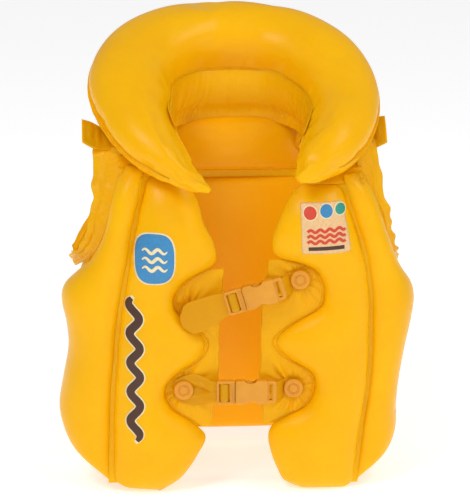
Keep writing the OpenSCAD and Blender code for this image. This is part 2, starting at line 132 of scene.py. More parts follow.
def vinyl(name, c_lo, c_hi, rough=0.30, sss=0.22, grain=0.25, crinkle=0.0):
    m, nt, p = nodes_of(name)
    tc = nt.nodes.new("ShaderNodeTexCoord").outputs["Object"]
    big = noise(nt, 14.0, 3, 0.55, tc)
    col = ramp(nt, big.outputs["Fac"], [(0.32, c_lo), (0.68, c_hi)])
    # faint cloudy flecks, as plasticiser leaves in vinyl film
    fl = noise(nt, 160.0, 4, 0.6, tc)
    mx = nt.nodes.new("ShaderNodeMix")
    mx.data_type = "RGBA"
    mx.blend_type = "SOFT_LIGHT"
    mx.inputs[0].default_value = 0.10
    link(nt, col.outputs[0], mx.inputs[6])
    link(nt, fl.outputs["Color"], mx.inputs[7])
    link(nt, mx.outputs[2], p.inputs["Base Color"])
    rn = noise(nt, 36.0, 4, 0.6, tc)
    rr = mathn(nt, "MULTIPLY_ADD", rn.outputs["Fac"], 0.16)
    rr.node.inputs[2].default_value = rough - 0.08
    link(nt, rr, p.inputs["Roughness"])
    p.inputs["Subsurface Weight"].default_value = sss
    p.inputs["Subsurface Radius"].default_value = (0.020, 0.0075, 0.0012)
    p.inputs["Subsurface Scale"].default_value = 1.0
    p.inputs["Specular IOR Level"].default_value = 0.13
    p.inputs["Coat Weight"].default_value = 0.03
    p.inputs["Coat Roughness"].default_value = 0.22
    g1 = noise(nt, 900.0, 3, 0.6, tc)
    n1 = bump(nt, g1.outputs["Fac"], grain, 0.00012)
    g2 = noise(nt, 75.0, 3, 0.5, tc, 0.6)
    n2 = bump(nt, g2.outputs["Fac"], 0.20, 0.0009, n1)
    if crinkle:
        g3 = noise(nt, 170.0, 4, 0.62, tc, 1.4)
        n2 = bump(nt, g3.outputs["Fac"], crinkle, 0.0016, n2)
    link(nt, n2, p.inputs["Normal"])
    return m


def moulded(name, c_lo, c_hi, rough=0.38, sss=0.15, grain=0.3):
    m, nt, p = nodes_of(name)
    tc = nt.nodes.new("ShaderNodeTexCoord").outputs["Object"]
    v = noise(nt, 60.0, 4, 0.6, tc)
    col = ramp(nt, v.outputs["Fac"], [(0.3, c_lo), (0.7, c_hi)])
    link(nt, col.outputs[0], p.inputs["Base Color"])
    r = noise(nt, 260.0, 4, 0.6, tc)
    rr = mathn(nt, "MULTIPLY_ADD", r.outputs["Fac"], 0.18)
    rr.node.inputs[2].default_value = rough - 0.09
    link(nt, rr, p.inputs["Roughness"])
    p.inputs["Subsurface Weight"].default_value = sss
    p.inputs["Subsurface Radius"].default_value = (0.006, 0.003, 0.001)
    p.inputs["Subsurface Scale"].default_value = 1.0
    g = noise(nt, 1800.0, 3, 0.6, tc)
    link(nt, bump(nt, g.outputs["Fac"], grain, 0.00010), p.inputs["Normal"])
    return m


YEL = vinyl("vinyl_chamber", (0.870, 0.435, 0.0008), (0.920, 0.475, 0.0015))
EDGE = vinyl("vinyl_edge", (0.890, 0.385, 0.0008), (0.940, 0.430, 0.0015), rough=0.34,
             sss=0.30, crinkle=0.35)
# same film as the chambers, painted lighter on the inside of the back: painted light standing in for the light that
# doesn't reach into the vest
BACK_FILM_LIT = vinyl("vinyl_back_painted_light", (0.920, 0.450, 0.0008), (0.960, 0.490, 0.0012), rough=0.36)
TAB = vinyl("vinyl_strap", (0.660, 0.280, 0.0010), (0.710, 0.315, 0.0016), rough=0.33, sss=0.12)
BUCK = moulded("buckle_plastic", (0.680, 0.270, 0.006), (0.760, 0.320, 0.010))
VALV = moulded("valve_vinyl", (0.880, 0.470, 0.006), (0.940, 0.520, 0.012), rough=0.30)


# ------------------------------------------------------------ mesh helpers
def cr_rows(rows, m):
    t = np.array(rows, float)
    n = len(t)
    out = []
    for i in range(n - 1):
        a, b, c, d = t[max(i - 1, 0)], t[i], t[i + 1], t[min(i + 2, n - 1)]
        for j in range(m):
            s = j / m
            out.append(0.5 * (2 * b + (c - a) * s + (2 * a - 5 * b + 4 * c - d) * s * s
                              + (3 * b - a - 3 * c + d) * s ** 3))
    out.append(t[-1])
    return np.array(out)


def resample(pts, step):
    """evenly spaced rows along a dense table, by the length of its first three columns"""
    d = np.r_[0, np.cumsum(np.linalg.norm(np.diff(pts[:, :3], axis=0), axis=1))]
    n = max(2, int(round(d[-1] / step)) + 1)
    q = np.linspace(0, d[-1], n)
    return np.stack([np.interp(q, d, pts[:, k]) for k in range(pts.shape[1])], 1)


def new_obj(name, verts, faces, mats, body="vest", smooth=True, uv=None):
    me = bpy.data.meshes.new(name)
    me.from_pydata([tuple(map(float, v)) for v in verts], [], faces)
    me.validate()
    me.update()
    for m in mats:
        me.materials.append(m)
    if smooth:
        me.polygons.foreach_set("use_smooth", [True] * len(me.polygons))
    if uv is not None:
        lay = me.uv_layers.new(name="UVMap")
        idx = np.zeros(len(me.loops), int)
        me.loops.foreach_get("vertex_index", idx)
        lay.data.foreach_set("uv", np.asarray(uv, float)[idx].ravel())
    o = bpy.data.objects.new(name, me)
    sc.collection.objects.link(o)
    return o


def grid_faces(n, m, loop_m=False, loop_n=False):
    f = []
    for i in range(n if loop_n else n - 1):
        for j in range(m if loop_m else m - 1):
            a = i * m + j
            b = i * m + (j + 1) % m
            c = ((i + 1) % n) * m + (j + 1) % m
            d = ((i + 1) % n) * m + j
            f.append((a, b, c, d))
    return f


def apply_mods(o):
    dg = bpy.context.evaluated_depsgraph_get()
    me = bpy.data.meshes.new_from_object(o.evaluated_get(dg))
    o.modifiers.clear()
    old = o.data
    o.data = me
    me.name = old.name
    bpy.data.meshes.remove(old)


def fix_normals(o):
    bm = bmesh.new()
    bm.from_mesh(o.data)
    bmesh.ops.remove_doubles(bm, verts=bm.verts, dist=1e-6)
    bmesh.ops.dissolve_degenerate(bm, edges=bm.edges, dist=1e-7)
    bmesh.ops.recalc_face_normals(bm, faces=bm.faces)
    bm.to_mesh(o.data)
    bm.free()
    o.data.update()


def coords(o):
    n = len(o.data.vertices)
    a = np.zeros(n * 3)
    o.data.vertices.foreach_get("co", a)
    return a.reshape(n, 3)


def set_coords(o, a):
    o.data.vertices.foreach_set("co", np.asarray(a, float).ravel())
    o.data.update()


def inflate(o, pin, frames=16, pressure=3.0, extra=0.045, cap=0.006, bend=0.35, tens=12.0):
    """blows up a welded chamber: the welds in pin stay put, and the film, cut a little
    large, gathers into short puckers beside them"""
    start = coords(o).copy()
    g = o.vertex_groups.new(name="weld")
    w = np.asarray(pin, float)
    for k in np.flatnonzero(w > 0):
        g.add([int(k)], float(w[k]), "REPLACE")
    c = o.modifiers.new("blow", "CLOTH")
    s = c.settings
    s.quality = 6
    s.mass = 0.25
    s.tension_stiffness = tens
    s.compression_stiffness = tens
    s.shear_stiffness = 5.0
    s.bending_stiffness = bend
    s.tension_damping = 5
    s.compression_damping = 5
    s.shear_damping = 5
    s.air_damping = 3
    s.use_pressure = True
    s.uniform_pressure_force = pressure
    s.vertex_group_mass = "weld"
    s.pin_stiffness = 5
    s.shrink_min = -extra
    s.effector_weights.gravity = 0
    c.collision_settings.use_collision = False
    c.collision_settings.use_self_collision = False
    c.point_cache.frame_start = 1
    c.point_cache.frame_end = frames + 2
    for f in range(1, frames + 1):
        sc.frame_set(f)
    dg = bpy.context.evaluated_depsgraph_get()
    ev = o.evaluated_get(dg).to_mesh()
    a = np.zeros(len(ev.vertices) * 3)
    ev.vertices.foreach_get("co", a)
    a = a.reshape(-1, 3)
    o.modifiers.clear()
    o.vertex_groups.clear()
    sc.frame_set(1)
    d = a - start
    ln = np.linalg.norm(d, axis=1)
    k = np.minimum(1, cap / np.maximum(ln, 1e-9))
    set_coords(o, start + d * k[:, None])


def sub(o, levels=1):
    m = o.modifiers.new("sub", "SUBSURF")
    m.levels = levels
    m.render_levels = levels
    apply_mods(o)
    o.data.polygons.foreach_set("use_smooth", [True] * len(o.data.polygons))


def solid(o, t):
    m = o.modifiers.new("solid", "SOLIDIFY")
    m.thickness = t
    m.offset = 0
    apply_mods(o)


# ------------------------------------------------------- shapes, as in CAD
FRONT_LEFT = [
    [0, 3, -74, -72, -84, -72, -98, -72, 3], [7, 9, -60, -72, -84, -73, -112, -72, 14],
    [17, 19, -49, -72, -82, -74, -115, -72, 20], [34, 34, -38, -72, -77, -75, -115, -72, 24],
    [52, 52, -30, -72, -72, -75, -115, -72, 25], [65, 65, -42, -72, -78, -75, -115, -72, 23],
    [80, 80, -62, -72, -88, -74, -114, -72, 19], [98, 98, -68, -72, -91, -74, -113, -72, 17],
    [112, 112, -57, -72, -84, -74, -112, -72, 19], [126, 126, -37, -72, -74, -75, -111, -72, 22],
    [141, 141, -31, -72, -70, -75, -110, -72, 23], [156, 156, -42, -72, -75, -75, -108, -72, 22],
    [172, 172, -58, -72, -82, -74, -106, -72, 19], [188, 188, -58, -72, -81, -74, -103, -72, 19],
    [202, 202, -44, -72, -73, -74, -101, -72, 21], [214, 214, -22, -72, -60, -75, -99, -72, 24],
    [232, 232, -22, -72, -59, -75, -96, -71, 25], [250, 250, -31, -71, -62, -74, -92, -70, 24],
    [268, 268, -36, -68, -63, -71, -88, -68, 21], [281, 281, -42, -65, -64, -67, -84, -64, 15],
    [290, 290, -48, -62, -65, -63, -82, -61, 7], [294, 294, -56, -60, -66, -60, -76, -60, 2]]
FRONT_RIGHT = [
    [0, 0, 60, -72, 72, -72, 95, -72, 3], [6, 6, 42, -72, 70, -73, 104, -72, 14],
    [16, 16, 35, -72, 68, -74, 105, -72, 20], [34, 34, 28, -72, 66, -75, 107, -72, 24],
    [52, 52, 25, -72, 67, -75, 109, -72, 25], [65, 65, 32, -72, 70, -75, 111, -72, 23],
    [80, 80, 60, -72, 85, -74, 113, -72, 19], [98, 98, 68, -72, 91, -74, 115, -72, 17],
    [112, 112, 64, -72, 89, -74, 116, -72, 19], [126, 126, 42, -72, 78, -75, 117, -72, 22],
    [141, 141, 32, -72, 74, -75, 117, -72, 23], [156, 156, 46, -72, 80, -75, 117, -72, 21],
    [172, 172, 72, -72, 94, -74, 117, -72, 18], [188, 188, 76, -72, 96, -74, 116, -72, 17],
    [203, 203, 71, -72, 92, -74, 114, -72, 18], [212, 212, 58, -72, 86, -74, 113, -72, 20],
    [220, 220, 32, -72, 71, -75, 111, -72, 23], [234, 234, 28, -72, 67, -75, 107, -71, 24],
    [250, 250, 33, -71, 66, -74, 102, -70, 22], [266, 266, 40, -68, 67, -71, 96, -68, 17],
    [278, 278, 48, -64, 69, -66, 92, -64, 10], [285, 285, 58, -61, 70, -61, 85, -61, 3]]
SIDE_LEFT = [
    [9, 50, -118, -72, -142, -62, -144, 2, 3], [19, 58, -118, -72, -145, -64, -144, 6, 14],
    [36, 70, -118, -72, -149, -66, -144, 10, 19], [60, 86, -117, -72, -152, -68, -144, 12, 21],
    [95, 106, -116, -72, -147, -68, -142, 12, 20], [125, 132, -113, -72, -143, -68, -140, 12, 18],
    [150, 154, -111, -72, -144, -68, -141, 12, 19], [172, 173, -108, -72, -148, -66, -143, 8, 21],
    [189, 186, -105, -72, -148, -64, -143, -2, 19], [206, 200, -102, -72, -135, -66, -136, -22, 16],
    [222, 215, -99, -72, -120, -68, -126, -40, 14], [245, 240, -96, -71, -108, -69, -117, -50, 13],
    [270, 268, -90, -69, -102, -67, -111, -50, 13], [286, 286, -87, -66, -98, -62, -107, -46, 11],
    [297, 297, -85, -61, -96, -57, -105, -42, 6], [302, 302, -86, -57, -95, -53, -102, -42, 2]]
SIDE_RIGHT = [
    [5, 42, 106, -72, 128, -62, 130, 2, 3], [15, 50, 107, -72, 133, -64, 132, 6, 13],
    [34, 64, 109, -72, 137, -66, 133, 10, 16], [60, 84, 112, -72, 136, -68, 132, 12, 16],
    [95, 106, 117, -72, 138, -68, 134, 12, 16], [125, 132, 119, -72, 143, -68, 137, 12, 17],
    [150, 154, 119, -72, 149, -68, 140, 12, 18], [172, 173, 119, -72, 151, -66, 142, 6, 19],
    [189, 186, 118, -72, 149, -64, 142, -4, 17], [206, 200, 116, -72, 137, -66, 138, -24, 15],
    [222, 215, 113, -72, 128, -68, 134, -38, 14], [245, 240, 106, -71, 119, -69, 128, -47, 13],
    [266, 264, 99, -69, 112, -67, 122, -48, 12], [279, 279, 95, -66, 107, -62, 117, -46, 10],
    [289, 289, 93, -62, 103, -58, 112, -44, 5], [293, 293, 94, -59, 102, -56, 108, -45, 2]]
BACK_TUBE = [
    [0, 26, -74, 64, -126, 70, -134, 24, 3], [8, 36, -73, 65, -134, 72, -143, 18, 14],
    [26, 50, -72, 66, -136, 74, -143, 16, 17], [56, 74, -72, 66, -136, 74, -142, 16, 18],
    [95, 104, -72, 67, -134, 74, -140, 16, 18], [130, 134, -72, 68, -134, 74, -139, 16, 18],
    [158, 160, -72, 68, -134, 74, -139, 18, 17], [180, 178, -72, 68, -130, 74, -138, 24, 16],
    [200, 194, -72, 68, -122, 74, -132, 38, 15], [220, 214, -72, 68, -112, 73, -123, 50, 14],
    [245, 242, -72, 67, -100, 70, -116, 56, 13], [268, 266, -72, 65, -94, 67, -111, 57, 12],
    [286, 286, -72, 62, -90, 63, -107, 55, 8], [293, 293, -76, 60, -90, 60, -102, 56, 2]]
BACK_PANEL = [
    [12, 12, -64, 66, 0, 67, 64, 66, 3], [18, 18, -69, 67, 0, 68, 69, 67, 9],
    [32, 32, -70, 67, 0, 69, 70, 67, 13], [70, 70, -70, 68, 0, 70, 70, 68, 15],
    [120, 120, -70, 68, 0, 71, 70, 68, 16], [180, 180, -70, 68, 0, 71, 70, 68, 16],
    [230, 230, -70, 68, 0, 70, 70, 68, 14], [254, 254, -70, 67, 0, 68, 70, 67, 9],
    [262, 262, -68, 66, 0, 66, 68, 66, 3]]
BACK_YOKE = [
    [266, 266, -66, 66, 0, 66, 66, 66, 3], [273, 273, -69, 66, 0, 66, 69, 66, 12],
    [286, 286, -70, 66, 0, 66, 70, 66, 17], [300, 300, -68, 66, 0, 66, 68, 66, 17],
    [312, 312, -64, 66, 0, 66, 64, 66, 12], [320, 320, -58, 66, 0, 66, 60, 66, 3]]
COLLAR = [
    [-28, -99, 287, 2.5], [-39, -93, 293, 8], [-52, -85, 302, 13], [-65, -73, 312, 19],
    [-79, -56, 324, 25], [-89, -32, 338, 30], [-93, -5, 352, 35], [-91, 22, 366, 36],
    [-77, 48, 378, 36], [-51, 69, 386, 35], [-23, 80, 388, 34], [5, 83, 388, 34],
    [31, 81, 386, 33], [57, 70, 382, 33], [81, 48, 371, 33], [95, 22, 357, 31],
    [98, -5, 343, 29], [92, -32, 329, 28], [81, -56, 317, 25], [69, -73, 308, 19],
    [59, -85, 300, 12], [50, -92, 294, 4]]


def rows_even(rows, step):
    """the table's rows, smoothed and set evenly along z"""
    t = cr_rows(rows, 10)
    key = np.c_[t[:, 0] * 0.5 + t[:, 1] * 0.5, t[:, 2], t[:, 6] * 0.5]
    d = np.r_[0, np.cumsum(np.linalg.norm(np.diff(key, axis=0) * [1, .55, .5], axis=1))]
    n = max(3, int(round(d[-1] / step)) + 1)
    q = np.linspace(0, d[-1], n)
    return np.stack([np.interp(q, d, t[:, k]) for k in range(t.shape[1])], 1)


def bez2(a, m, b, s):
    return a * (1 - s) ** 2 + 2 * m * s * (1 - s) + b * s * s


def wave(x, seed, f0, f1, m=7):
    """smooth uneven wave of about -1 to 1 along x, in mm, with m sines from f0 to f1 per mm"""
    r = np.random.RandomState(seed)
    x = np.asarray(x, float)
    out = 0
    for k in range(m):
        out = out + r.uniform(0.5, 1) * np.sin(2 * np.pi * (r.uniform(f0, f1) * x + r.uniform()))
    return out / (0.42 * m)


def pillow_height(z, xa, xb, K, h=1.5):
    """height of an inflated panel whose outline runs from xa to xb at each z: the
    root of a membrane's deflection, which is round across and full in the middle"""
    z0, z1 = z.min(), z.max()
    x0, x1 = min(xa.min(), xb.min()), max(xa.max(), xb.max())
    nz, nx = int((z1 - z0) / h) + 3, int((x1 - x0) / h) + 3
    Z = z0 - h + h * np.arange(nz)
    X = x0 - h + h * np.arange(nx)
    o = np.argsort(z)
    lo = np.interp(Z, z[o], np.minimum(xa, xb)[o])
    hi = np.interp(Z, z[o], np.maximum(xa, xb)[o])
    inside = (X[None] > lo[:, None]) & (X[None] < hi[:, None]) & ((Z > z0) & (Z < z1))[:, None]
    u = np.zeros((nz, nx))
    for it in range(2600):
        v = 0.25 * (np.roll(u, 1, 0) + np.roll(u, -1, 0) + np.roll(u, 1, 1) + np.roll(u, -1, 1)
                    + h * h)
        u = np.where(inside, u + 1.0 * (v - u), 0)
    top = K * math.sqrt(2 * u.max())
    hgt = top * (np.maximum(u, 0) / u.max()) ** 0.60

    def at(x, zz):
        fx = np.clip((x - X[0]) / h, 0, nx - 1.001)
        fz = np.clip((zz - Z[0]) / h, 0, nz - 1.001)
        i, j = fz.astype(int), fx.astype(int)
        a, b = fz - i, fx - j
        return ((1 - a) * (1 - b) * hgt[i, j] + (1 - a) * b * hgt[i, j + 1]
                + a * (1 - b) * hgt[i + 1, j] + a * b * hgt[i + 1, j + 1])
    return at


def chamber(name, rows, k=20, step=3.8, pillow=None, ends=True, power=0.72, pucker=1.0, seed=1):
    """closed mesh of a chamber: rings of 2k points, with its two weld lines at 0 and k.
    Returns the object and, for each point, whether it is on a weld."""
    t = rows_even(rows, step)
    n = len(t)
    s = (1 - np.cos(np.pi * np.arange(k + 1) / k)) / 2 * 0.55 + np.arange(k + 1) / k * 0.45
    front = np.zeros((n, k + 1, 3))
    rear = np.zeros((n, k + 1, 3))
    hf = None
    if pillow:
        hf = pillow_height((t[:, 0] + t[:, 1]) / 2, t[:, 2], t[:, 6], pillow)
    for i, r in enumerate(t):
        a, m, b = r[2:4], r[4:6], r[6:8]
        q = np.array([bez2(a, m, b, x) for x in s])
        d = np.array([(m - a) * (1 - x) + (b - m) * x for x in s])
        d /= np.maximum(np.linalg.norm(d, axis=1), 1e-6)[:, None]
        z = r[0] * (1 - s) + r[1] * s
        if hf is None:
            hh = r[8] * np.maximum(np.sin(np.pi * s), 0) ** power
        else:
            hh = hf(q[:, 0], z)
        hh[0] = hh[-1] = 0
        if ends and i in (0, n - 1):
            hh[:] = 0
        front[i] = np.c_[q[:, 0] + d[:, 1] * hh, q[:, 1] - d[:, 0] * hh, z]
        rear[i] = np.c_[q[:, 0] - d[:, 1] * hh, q[:, 1] + d[:, 0] * hh, z]
    # short gathers beside the welds, where flat film was made to bulge
    run = np.r_[0, np.cumsum(np.linalg.norm(np.diff(front[:, k // 2], axis=0), axis=1))]
    for sheet_, sgn in ((front, 1.0), (rear, -1.0)):
        L = np.linalg.norm(np.diff(sheet_, axis=1), axis=2)
        d0 = np.c_[np.zeros(n), np.cumsum(L, 1)]
        d1 = d0[:, -1:] - d0
        gu = np.gradient(sheet_, axis=0)
        gv = np.gradient(sheet_, axis=1)
        nn = np.cross(gv, gu)
        nn /= np.maximum(np.linalg.norm(nn, axis=2), 1e-9)[..., None]
        mid = (front + rear) / 2
        flip = np.sign(np.sum(nn * (sheet_ - mid), axis=2))
        nn *= flip[..., None]
        for d, sd in ((d0, seed), (d1, seed + 5)):
            g = np.maximum(wave(run, sd, 0.045, 0.12), 0)[:, None]
            sheet_ -= nn * (pucker * 1.5 * g * np.exp(-(d / 11.0) ** 1.3) * (1 - np.exp(-d / 1.6)))[..., None]
    ring = np.concatenate([front, rear[:, k - 1:0:-1]], 1)     # n, 2k, 3
    P = M(ring.reshape(-1, 3))
    m2 = 2 * k
    faces = grid_faces(n, m2, loop_m=True)
    # each end is closed flat, front sheet to rear sheet
    for e in (0, n - 1):
        base = e * m2
        for j in range(k):
            a, b = base + j, base + j + 1
            c, d = base + (m2 - j - 1) % m2, base + (m2 - j) % m2
            f = [a, b, c, d] if b != c else [a, b, d]
            f = list(dict.fromkeys(f))
            if len(f) > 2:
                faces.append(tuple(f if e == 0 else f[::-1]))
    uv = np.array([(j / m2, i / (n - 1)) for i in range(n) for j in range(m2)])
    o = new_obj(name, P, faces, [YEL], uv=uv)
    pin = np.zeros(len(P))
    pin[[i * m2 for i in range(n)]] = 1
    pin[[i * m2 + k for i in range(n)]] = 1
    pin[:m2] = 1
    pin[-m2:] = 1
    return o, pin, t


def finish_chamber(o, pin, node, mat=None, fill=0.9, **kw):
    inflate(o, pin, **kw)
    fix_normals(o)
    sub(o, 1)
    if mat:
        o.data.materials[0] = mat
    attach(o, "vest")
    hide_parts(node)
    return o


# ------------------------------------------------------------ the chambers
o, pin, TL = chamber("front_chamber_left_skin", FRONT_LEFT, k=20, pillow=0.60, seed=11)
FCL = finish_chamber(o, pin, "front_chamber_left")
o, pin, TR = chamber("front_chamber_right_skin", FRONT_RIGHT, k=20, pillow=0.60, seed=12)
FCR = finish_chamber(o, pin, "front_chamber_right")
o, pin, SL = chamber("side_tube_left_skin", SIDE_LEFT, k=18, seed=13)
STL = finish_chamber(o, pin, "side_tube_left")
o, pin, SR = chamber("side_tube_right_skin", SIDE_RIGHT, k=18, seed=14)
STR = finish_chamber(o, pin, "side_tube_right")
o, pin, BL = chamber("back_tube_left_skin", BACK_TUBE, k=18, step=4.4, seed=15)
finish_chamber(o, pin, "back_tube_left")
BTR = [[r[0], r[1], -r[2], r[3], -r[4], r[5], -r[6], r[7], r[8]] for r in BACK_TUBE]
o, pin, BR = chamber("back_tube_right_skin", BTR, k=18, step=4.4, seed=16)
finish_chamber(o, pin, "back_tube_right")
o, pin, BP = chamber("back_panel_skin", BACK_PANEL, k=26, step=5.0, power=0.6, seed=17)
# the back panel takes the film copy with painted light, lighter than the front chambers
finish_chamber(o, pin, "back_panel_chamber", BACK_FILM_LIT, cap=0.004)
o, pin, BY = chamber("back_yoke_skin", BACK_YOKE, k=26, step=3.6, power=0.5, seed=18)
finish_chamber(o, pin, "back_yoke_chamber", cap=0.004)

# ------------------------------------------------------------------ collar
RING_N = np.array([0, -0.66, 0.75])
RING_N /= np.linalg.norm(RING_N)


def collar_frames(step=4.2):
    c = resample(cr_rows(COLLAR, 8), step)
    T = np.gradient(c[:, :3], axis=0)
    T /= np.linalg.norm(T, axis=1)[:, None]
    U = np.cross(RING_N, T)
    U /= np.linalg.norm(U, axis=1)[:, None]
    return c, U, np.cross(T, U)


CC, CU, CV = collar_frames()
nc, kc = len(CC), 48
ang = 2 * np.pi * np.arange(kc) / kc
ring = []
for i in range(nc):
    r = CC[i, 3]
    # a shade squarer than a circle, drawn in a little at the inner and outer welds
    ca, sa = np.cos(ang), np.sin(ang)
    rad = r * (1 + 0.03 * np.cos(2 * ang)) * (1 - 0.02 * np.cos(4 * ang))
    ring.append(CC[i, :3] + CU[i] * (rad * ca)[:, None] + CV[i] * (rad * 0.93 * sa)[:, None])
P = M(np.array(ring).reshape(-1, 3))
faces = grid_faces(nc, kc, loop_m=True)
P = np.r_[P, [P[:kc].mean(0)], [P[-kc:].mean(0)]]
a, b = nc * kc, nc * kc + 1
faces += [(a, (j + 1) % kc, j) for j in range(kc)]
faces += [(b, (nc - 1) * kc + j, (nc - 1) * kc + (j + 1) % kc) for j in range(kc)]
uv = [(j / kc, i / nc) for i in range(nc) for j in range(kc)] + [(0, 0), (0, 1)]
col = new_obj("collar_skin", P, faces, [YEL], uv=uv)
pin = np.zeros(len(P))
pin[[i * kc for i in range(nc)]] = 1
pin[[i * kc + kc // 2 for i in range(nc)]] = 1
pin[:kc] = 1
pin[(nc - 1) * kc:] = 1
inflate(col, pin, extra=0.03, cap=0.004)
fix_normals(col)
sub(col, 1)
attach(col, "vest")
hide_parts("collar_chamber")

# ------------------------------------------------------------- film pieces
def smooth_rows(rows, step, m=8):
    return resample(cr_rows(rows, m), step)


def film(name, P, Q, nv, mat, node=None, disp=None, thick=0.5,
         spread=None, levels=0, lift=None):
    """a sheet from the line of points P to the line Q, in mm, bulged by disp(G, t)"""
    P, Q = np.asarray(P, float), np.asarray(Q, float)
    n = len(P)
    t = np.linspace(0, 1, nv) if spread is None else spread(np.linspace(0, 1, nv))
    G = P[:, None] * (1 - t)[None, :, None] + Q[:, None] * t[None, :, None]
    if lift is not None:
        G = G + lift(G, t)
    if disp is not None:
        N = np.cross(np.gradient(G, axis=0), np.gradient(G, axis=1))
        N /= np.maximum(np.linalg.norm(N, axis=2), 1e-9)[..., None]
        G = G + N * disp(G, t)[..., None]
    uv = np.array([(j / (nv - 1), i / (n - 1)) for i in range(n) for j in range(nv)])
    o = new_obj(name, M(G.reshape(-1, 3)), grid_faces(n, nv), [mat], uv=uv)
    solid(o, thick / 1000)
    if levels:
        sub(o, levels)
    o.data.polygons.foreach_set("use_smooth", [True] * len(o.data.polygons))
    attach(o, "vest")
    if node:
        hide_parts(*([node] if isinstance(node, str) else node))
    return o, G


def table_edge(t, e):
    """points along one weld of an evened table: a is edge 2, b is edge 6"""
    return np.array([[r[e], r[e + 1], r[0] if e == 2 else r[1]] for r in t])


def at_z(edge, z):
    o = np.argsort(edge[:, 2])
    return np.stack([np.interp(z, edge[o, 2], edge[o, 0]), np.interp(z, edge[o, 2], edge[o, 1]), z], 1)


def seam(name, A, B, node, seed, inset=1.2, push=(0, 0, 0), nv=9, mat=None):
    """the welded strip between two chambers' edges, with its two fine weld ridges and
    the small puckers that run out from it"""
    u = B - A
    w = np.linalg.norm(u, axis=1)
    u = u / np.maximum(w, 1e-6)[:, None]
    P, Q = A - u * inset + push, B + u * inset + push
    run = np.r_[0, np.cumsum(np.linalg.norm(np.diff(P, axis=0), axis=1))]

    def disp(G, t):
        ridge = np.exp(-((t - 0.30) / 0.08) ** 2) + np.exp(-((t - 0.70) / 0.08) ** 2)
        return 0.15 * ridge[None] + (0.12 * wave(run, seed, 0.05, 0.2))[:, None] * np.sin(np.pi * t)[None]
    return film(name, P, Q, nv, mat or YEL, node, disp, thick=0.6)[0]


zz = np.arange(9, 293, 1.6)
eFLb, eSLa = at_z(table_edge(TL, 6), zz), at_z(table_edge(SL, 2), zz)
eFLb[:, 0] = np.maximum(eFLb[:, 0], eSLa[:, 0] + 0.6)
seam("seam_front_left", eSLa, eFLb, "weld_seams", 31, inset=1.8, push=(0, -0.3, 0))
zz = np.arange(5, 284, 1.6)
eFRb, eSRa = at_z(table_edge(TR, 6), zz), at_z(table_edge(SR, 2), zz)
seam("seam_front_right", eFRb, eSRa, "weld_seams", 32, inset=1.8, push=(0, -0.3, 0))
for sd, T_, sg, seedv in (("left", SL, 1, 33), ("right", SR, -1, 34)):
    fr = table_edge(T_, 6)
    bk = table_edge(BL if sg == 1 else BR, 6)
    z0, z1 = max(fr[:, 2].min(), bk[:, 2].min()), min(fr[:, 2].max(), 196)
    zq = np.arange(z0, z1, 2.0)
    seam("seam_side_" + sd, at_z(fr, zq), at_z(bk, zq), "weld_seams", seedv)
for sd, sg, seedv in (("left", -1, 35), ("right", 1, 36)):
    zq = np.arange(14, 262, 2.0)
    A_ = np.stack([np.full_like(zq, sg * 69.5), np.full_like(zq, 67.5), zq], 1)
    B_ = np.stack([np.full_like(zq, sg * 72.5), np.full_like(zq, 67.5), zq], 1)
    if sg < 0:
        A_, B_ = B_, A_
    seam("seam_back_" + sd, A_, B_, "weld_seams", seedv)
xq = np.linspace(-68, 68, 70)
seam("seam_back_yoke", np.stack([xq, np.full_like(xq, 68.2), np.full_like(xq, 258.5)], 1),
     np.stack([xq, np.full_like(xq, 68.2), np.full_like(xq, 269.0)], 1), "weld_seams", 37, mat=BACK_FILM_LIT)

# ---- collar: outer weld flange, and the fine inner weld
i0, i1 = 8, nc - 8
run = np.r_[0, np.cumsum(np.linalg.norm(np.diff(CC[:, :3], axis=0), axis=1))]
sl = slice(i0, i1)
fine = np.linspace(i0, i1 - 1, (i1 - i0) * 2)


def at_i(arr):
    return np.stack([np.interp(fine, np.arange(nc), arr[:, k]) for k in range(arr.shape[1])], 1)


C3, U3, V3, R3 = at_i(CC[:, :3]), at_i(CU), at_i(CV), np.interp(fine, np.arange(nc), CC[:, 3])
run3 = np.interp(fine, np.arange(nc), run)
taper = np.clip(np.minimum(fine - i0, i1 - 1 - fine) / 6, 0, 1)


def fl_disp(G, t):
    ridge = np.exp(-((t - 0.36) / 0.09) ** 2) + np.exp(-((t - 0.80) / 0.09) ** 2)
    return 0.45 * ridge[None] + (0.8 * wave(run3, 41, 0.03, 0.12))[:, None] * (t ** 1.5)[None]


film("collar_flange_film", C3 + U3 * (R3 - 0.8)[:, None],
     C3 + U3 * (R3 + 0.5 + 3.9 * taper)[:, None], 11, EDGE, "collar_weld_flange", fl_disp, thick=0.7)


def in_disp(G, t):
    return (0.25 * wave(run3, 42, 0.03, 0.10))[:, None] * (t ** 1.2)[None]


film("collar_inner_weld", C3 - U3 * (R3 - 1.2)[:, None], C3 - U3 * (R3 + 1.3)[:, None], 5, EDGE,
     None, in_disp, thick=0.6)

# ---- neck film: from the collar's inner weld to the yoke and shoulders
NECK = [[-54, -46, 331, -58, -42, 303], [-58, -26, 342, -60, -24, 306],
        [-56, -4, 351.5, -60, -4, 310], [-54, 15, 358, -59, 14, 312],
        [-46, 31, 361, -57, 36, 313], [-31, 46, 363.5, -46, 56, 318.5],
        [-15, 54, 363.5, -22, 63, 321.5], [5, 56, 363.5, 5, 64, 321.5],
        [22, 56, 362.5, 26, 63, 321.5], [36, 48, 361.5, 46, 57, 318.5],
        [51, 33, 356, 58, 36, 313], [62, 15, 349.5, 61, 14, 309],
        [66, -4, 342.5, 62, -4, 306], [62, -26, 333, 61, -24, 301],
        [56, -46, 323, 57, -40, 298]]
nk = cr_rows(NECK, 26)
krun = np.r_[0, np.cumsum(np.linalg.norm(np.diff((nk[:, :3] + nk[:, 3:]) / 2, axis=0), axis=1))]
kx = nk[:, 3]
back_part = np.clip((nk[:, 1] - 30) / 20, 0, 1)


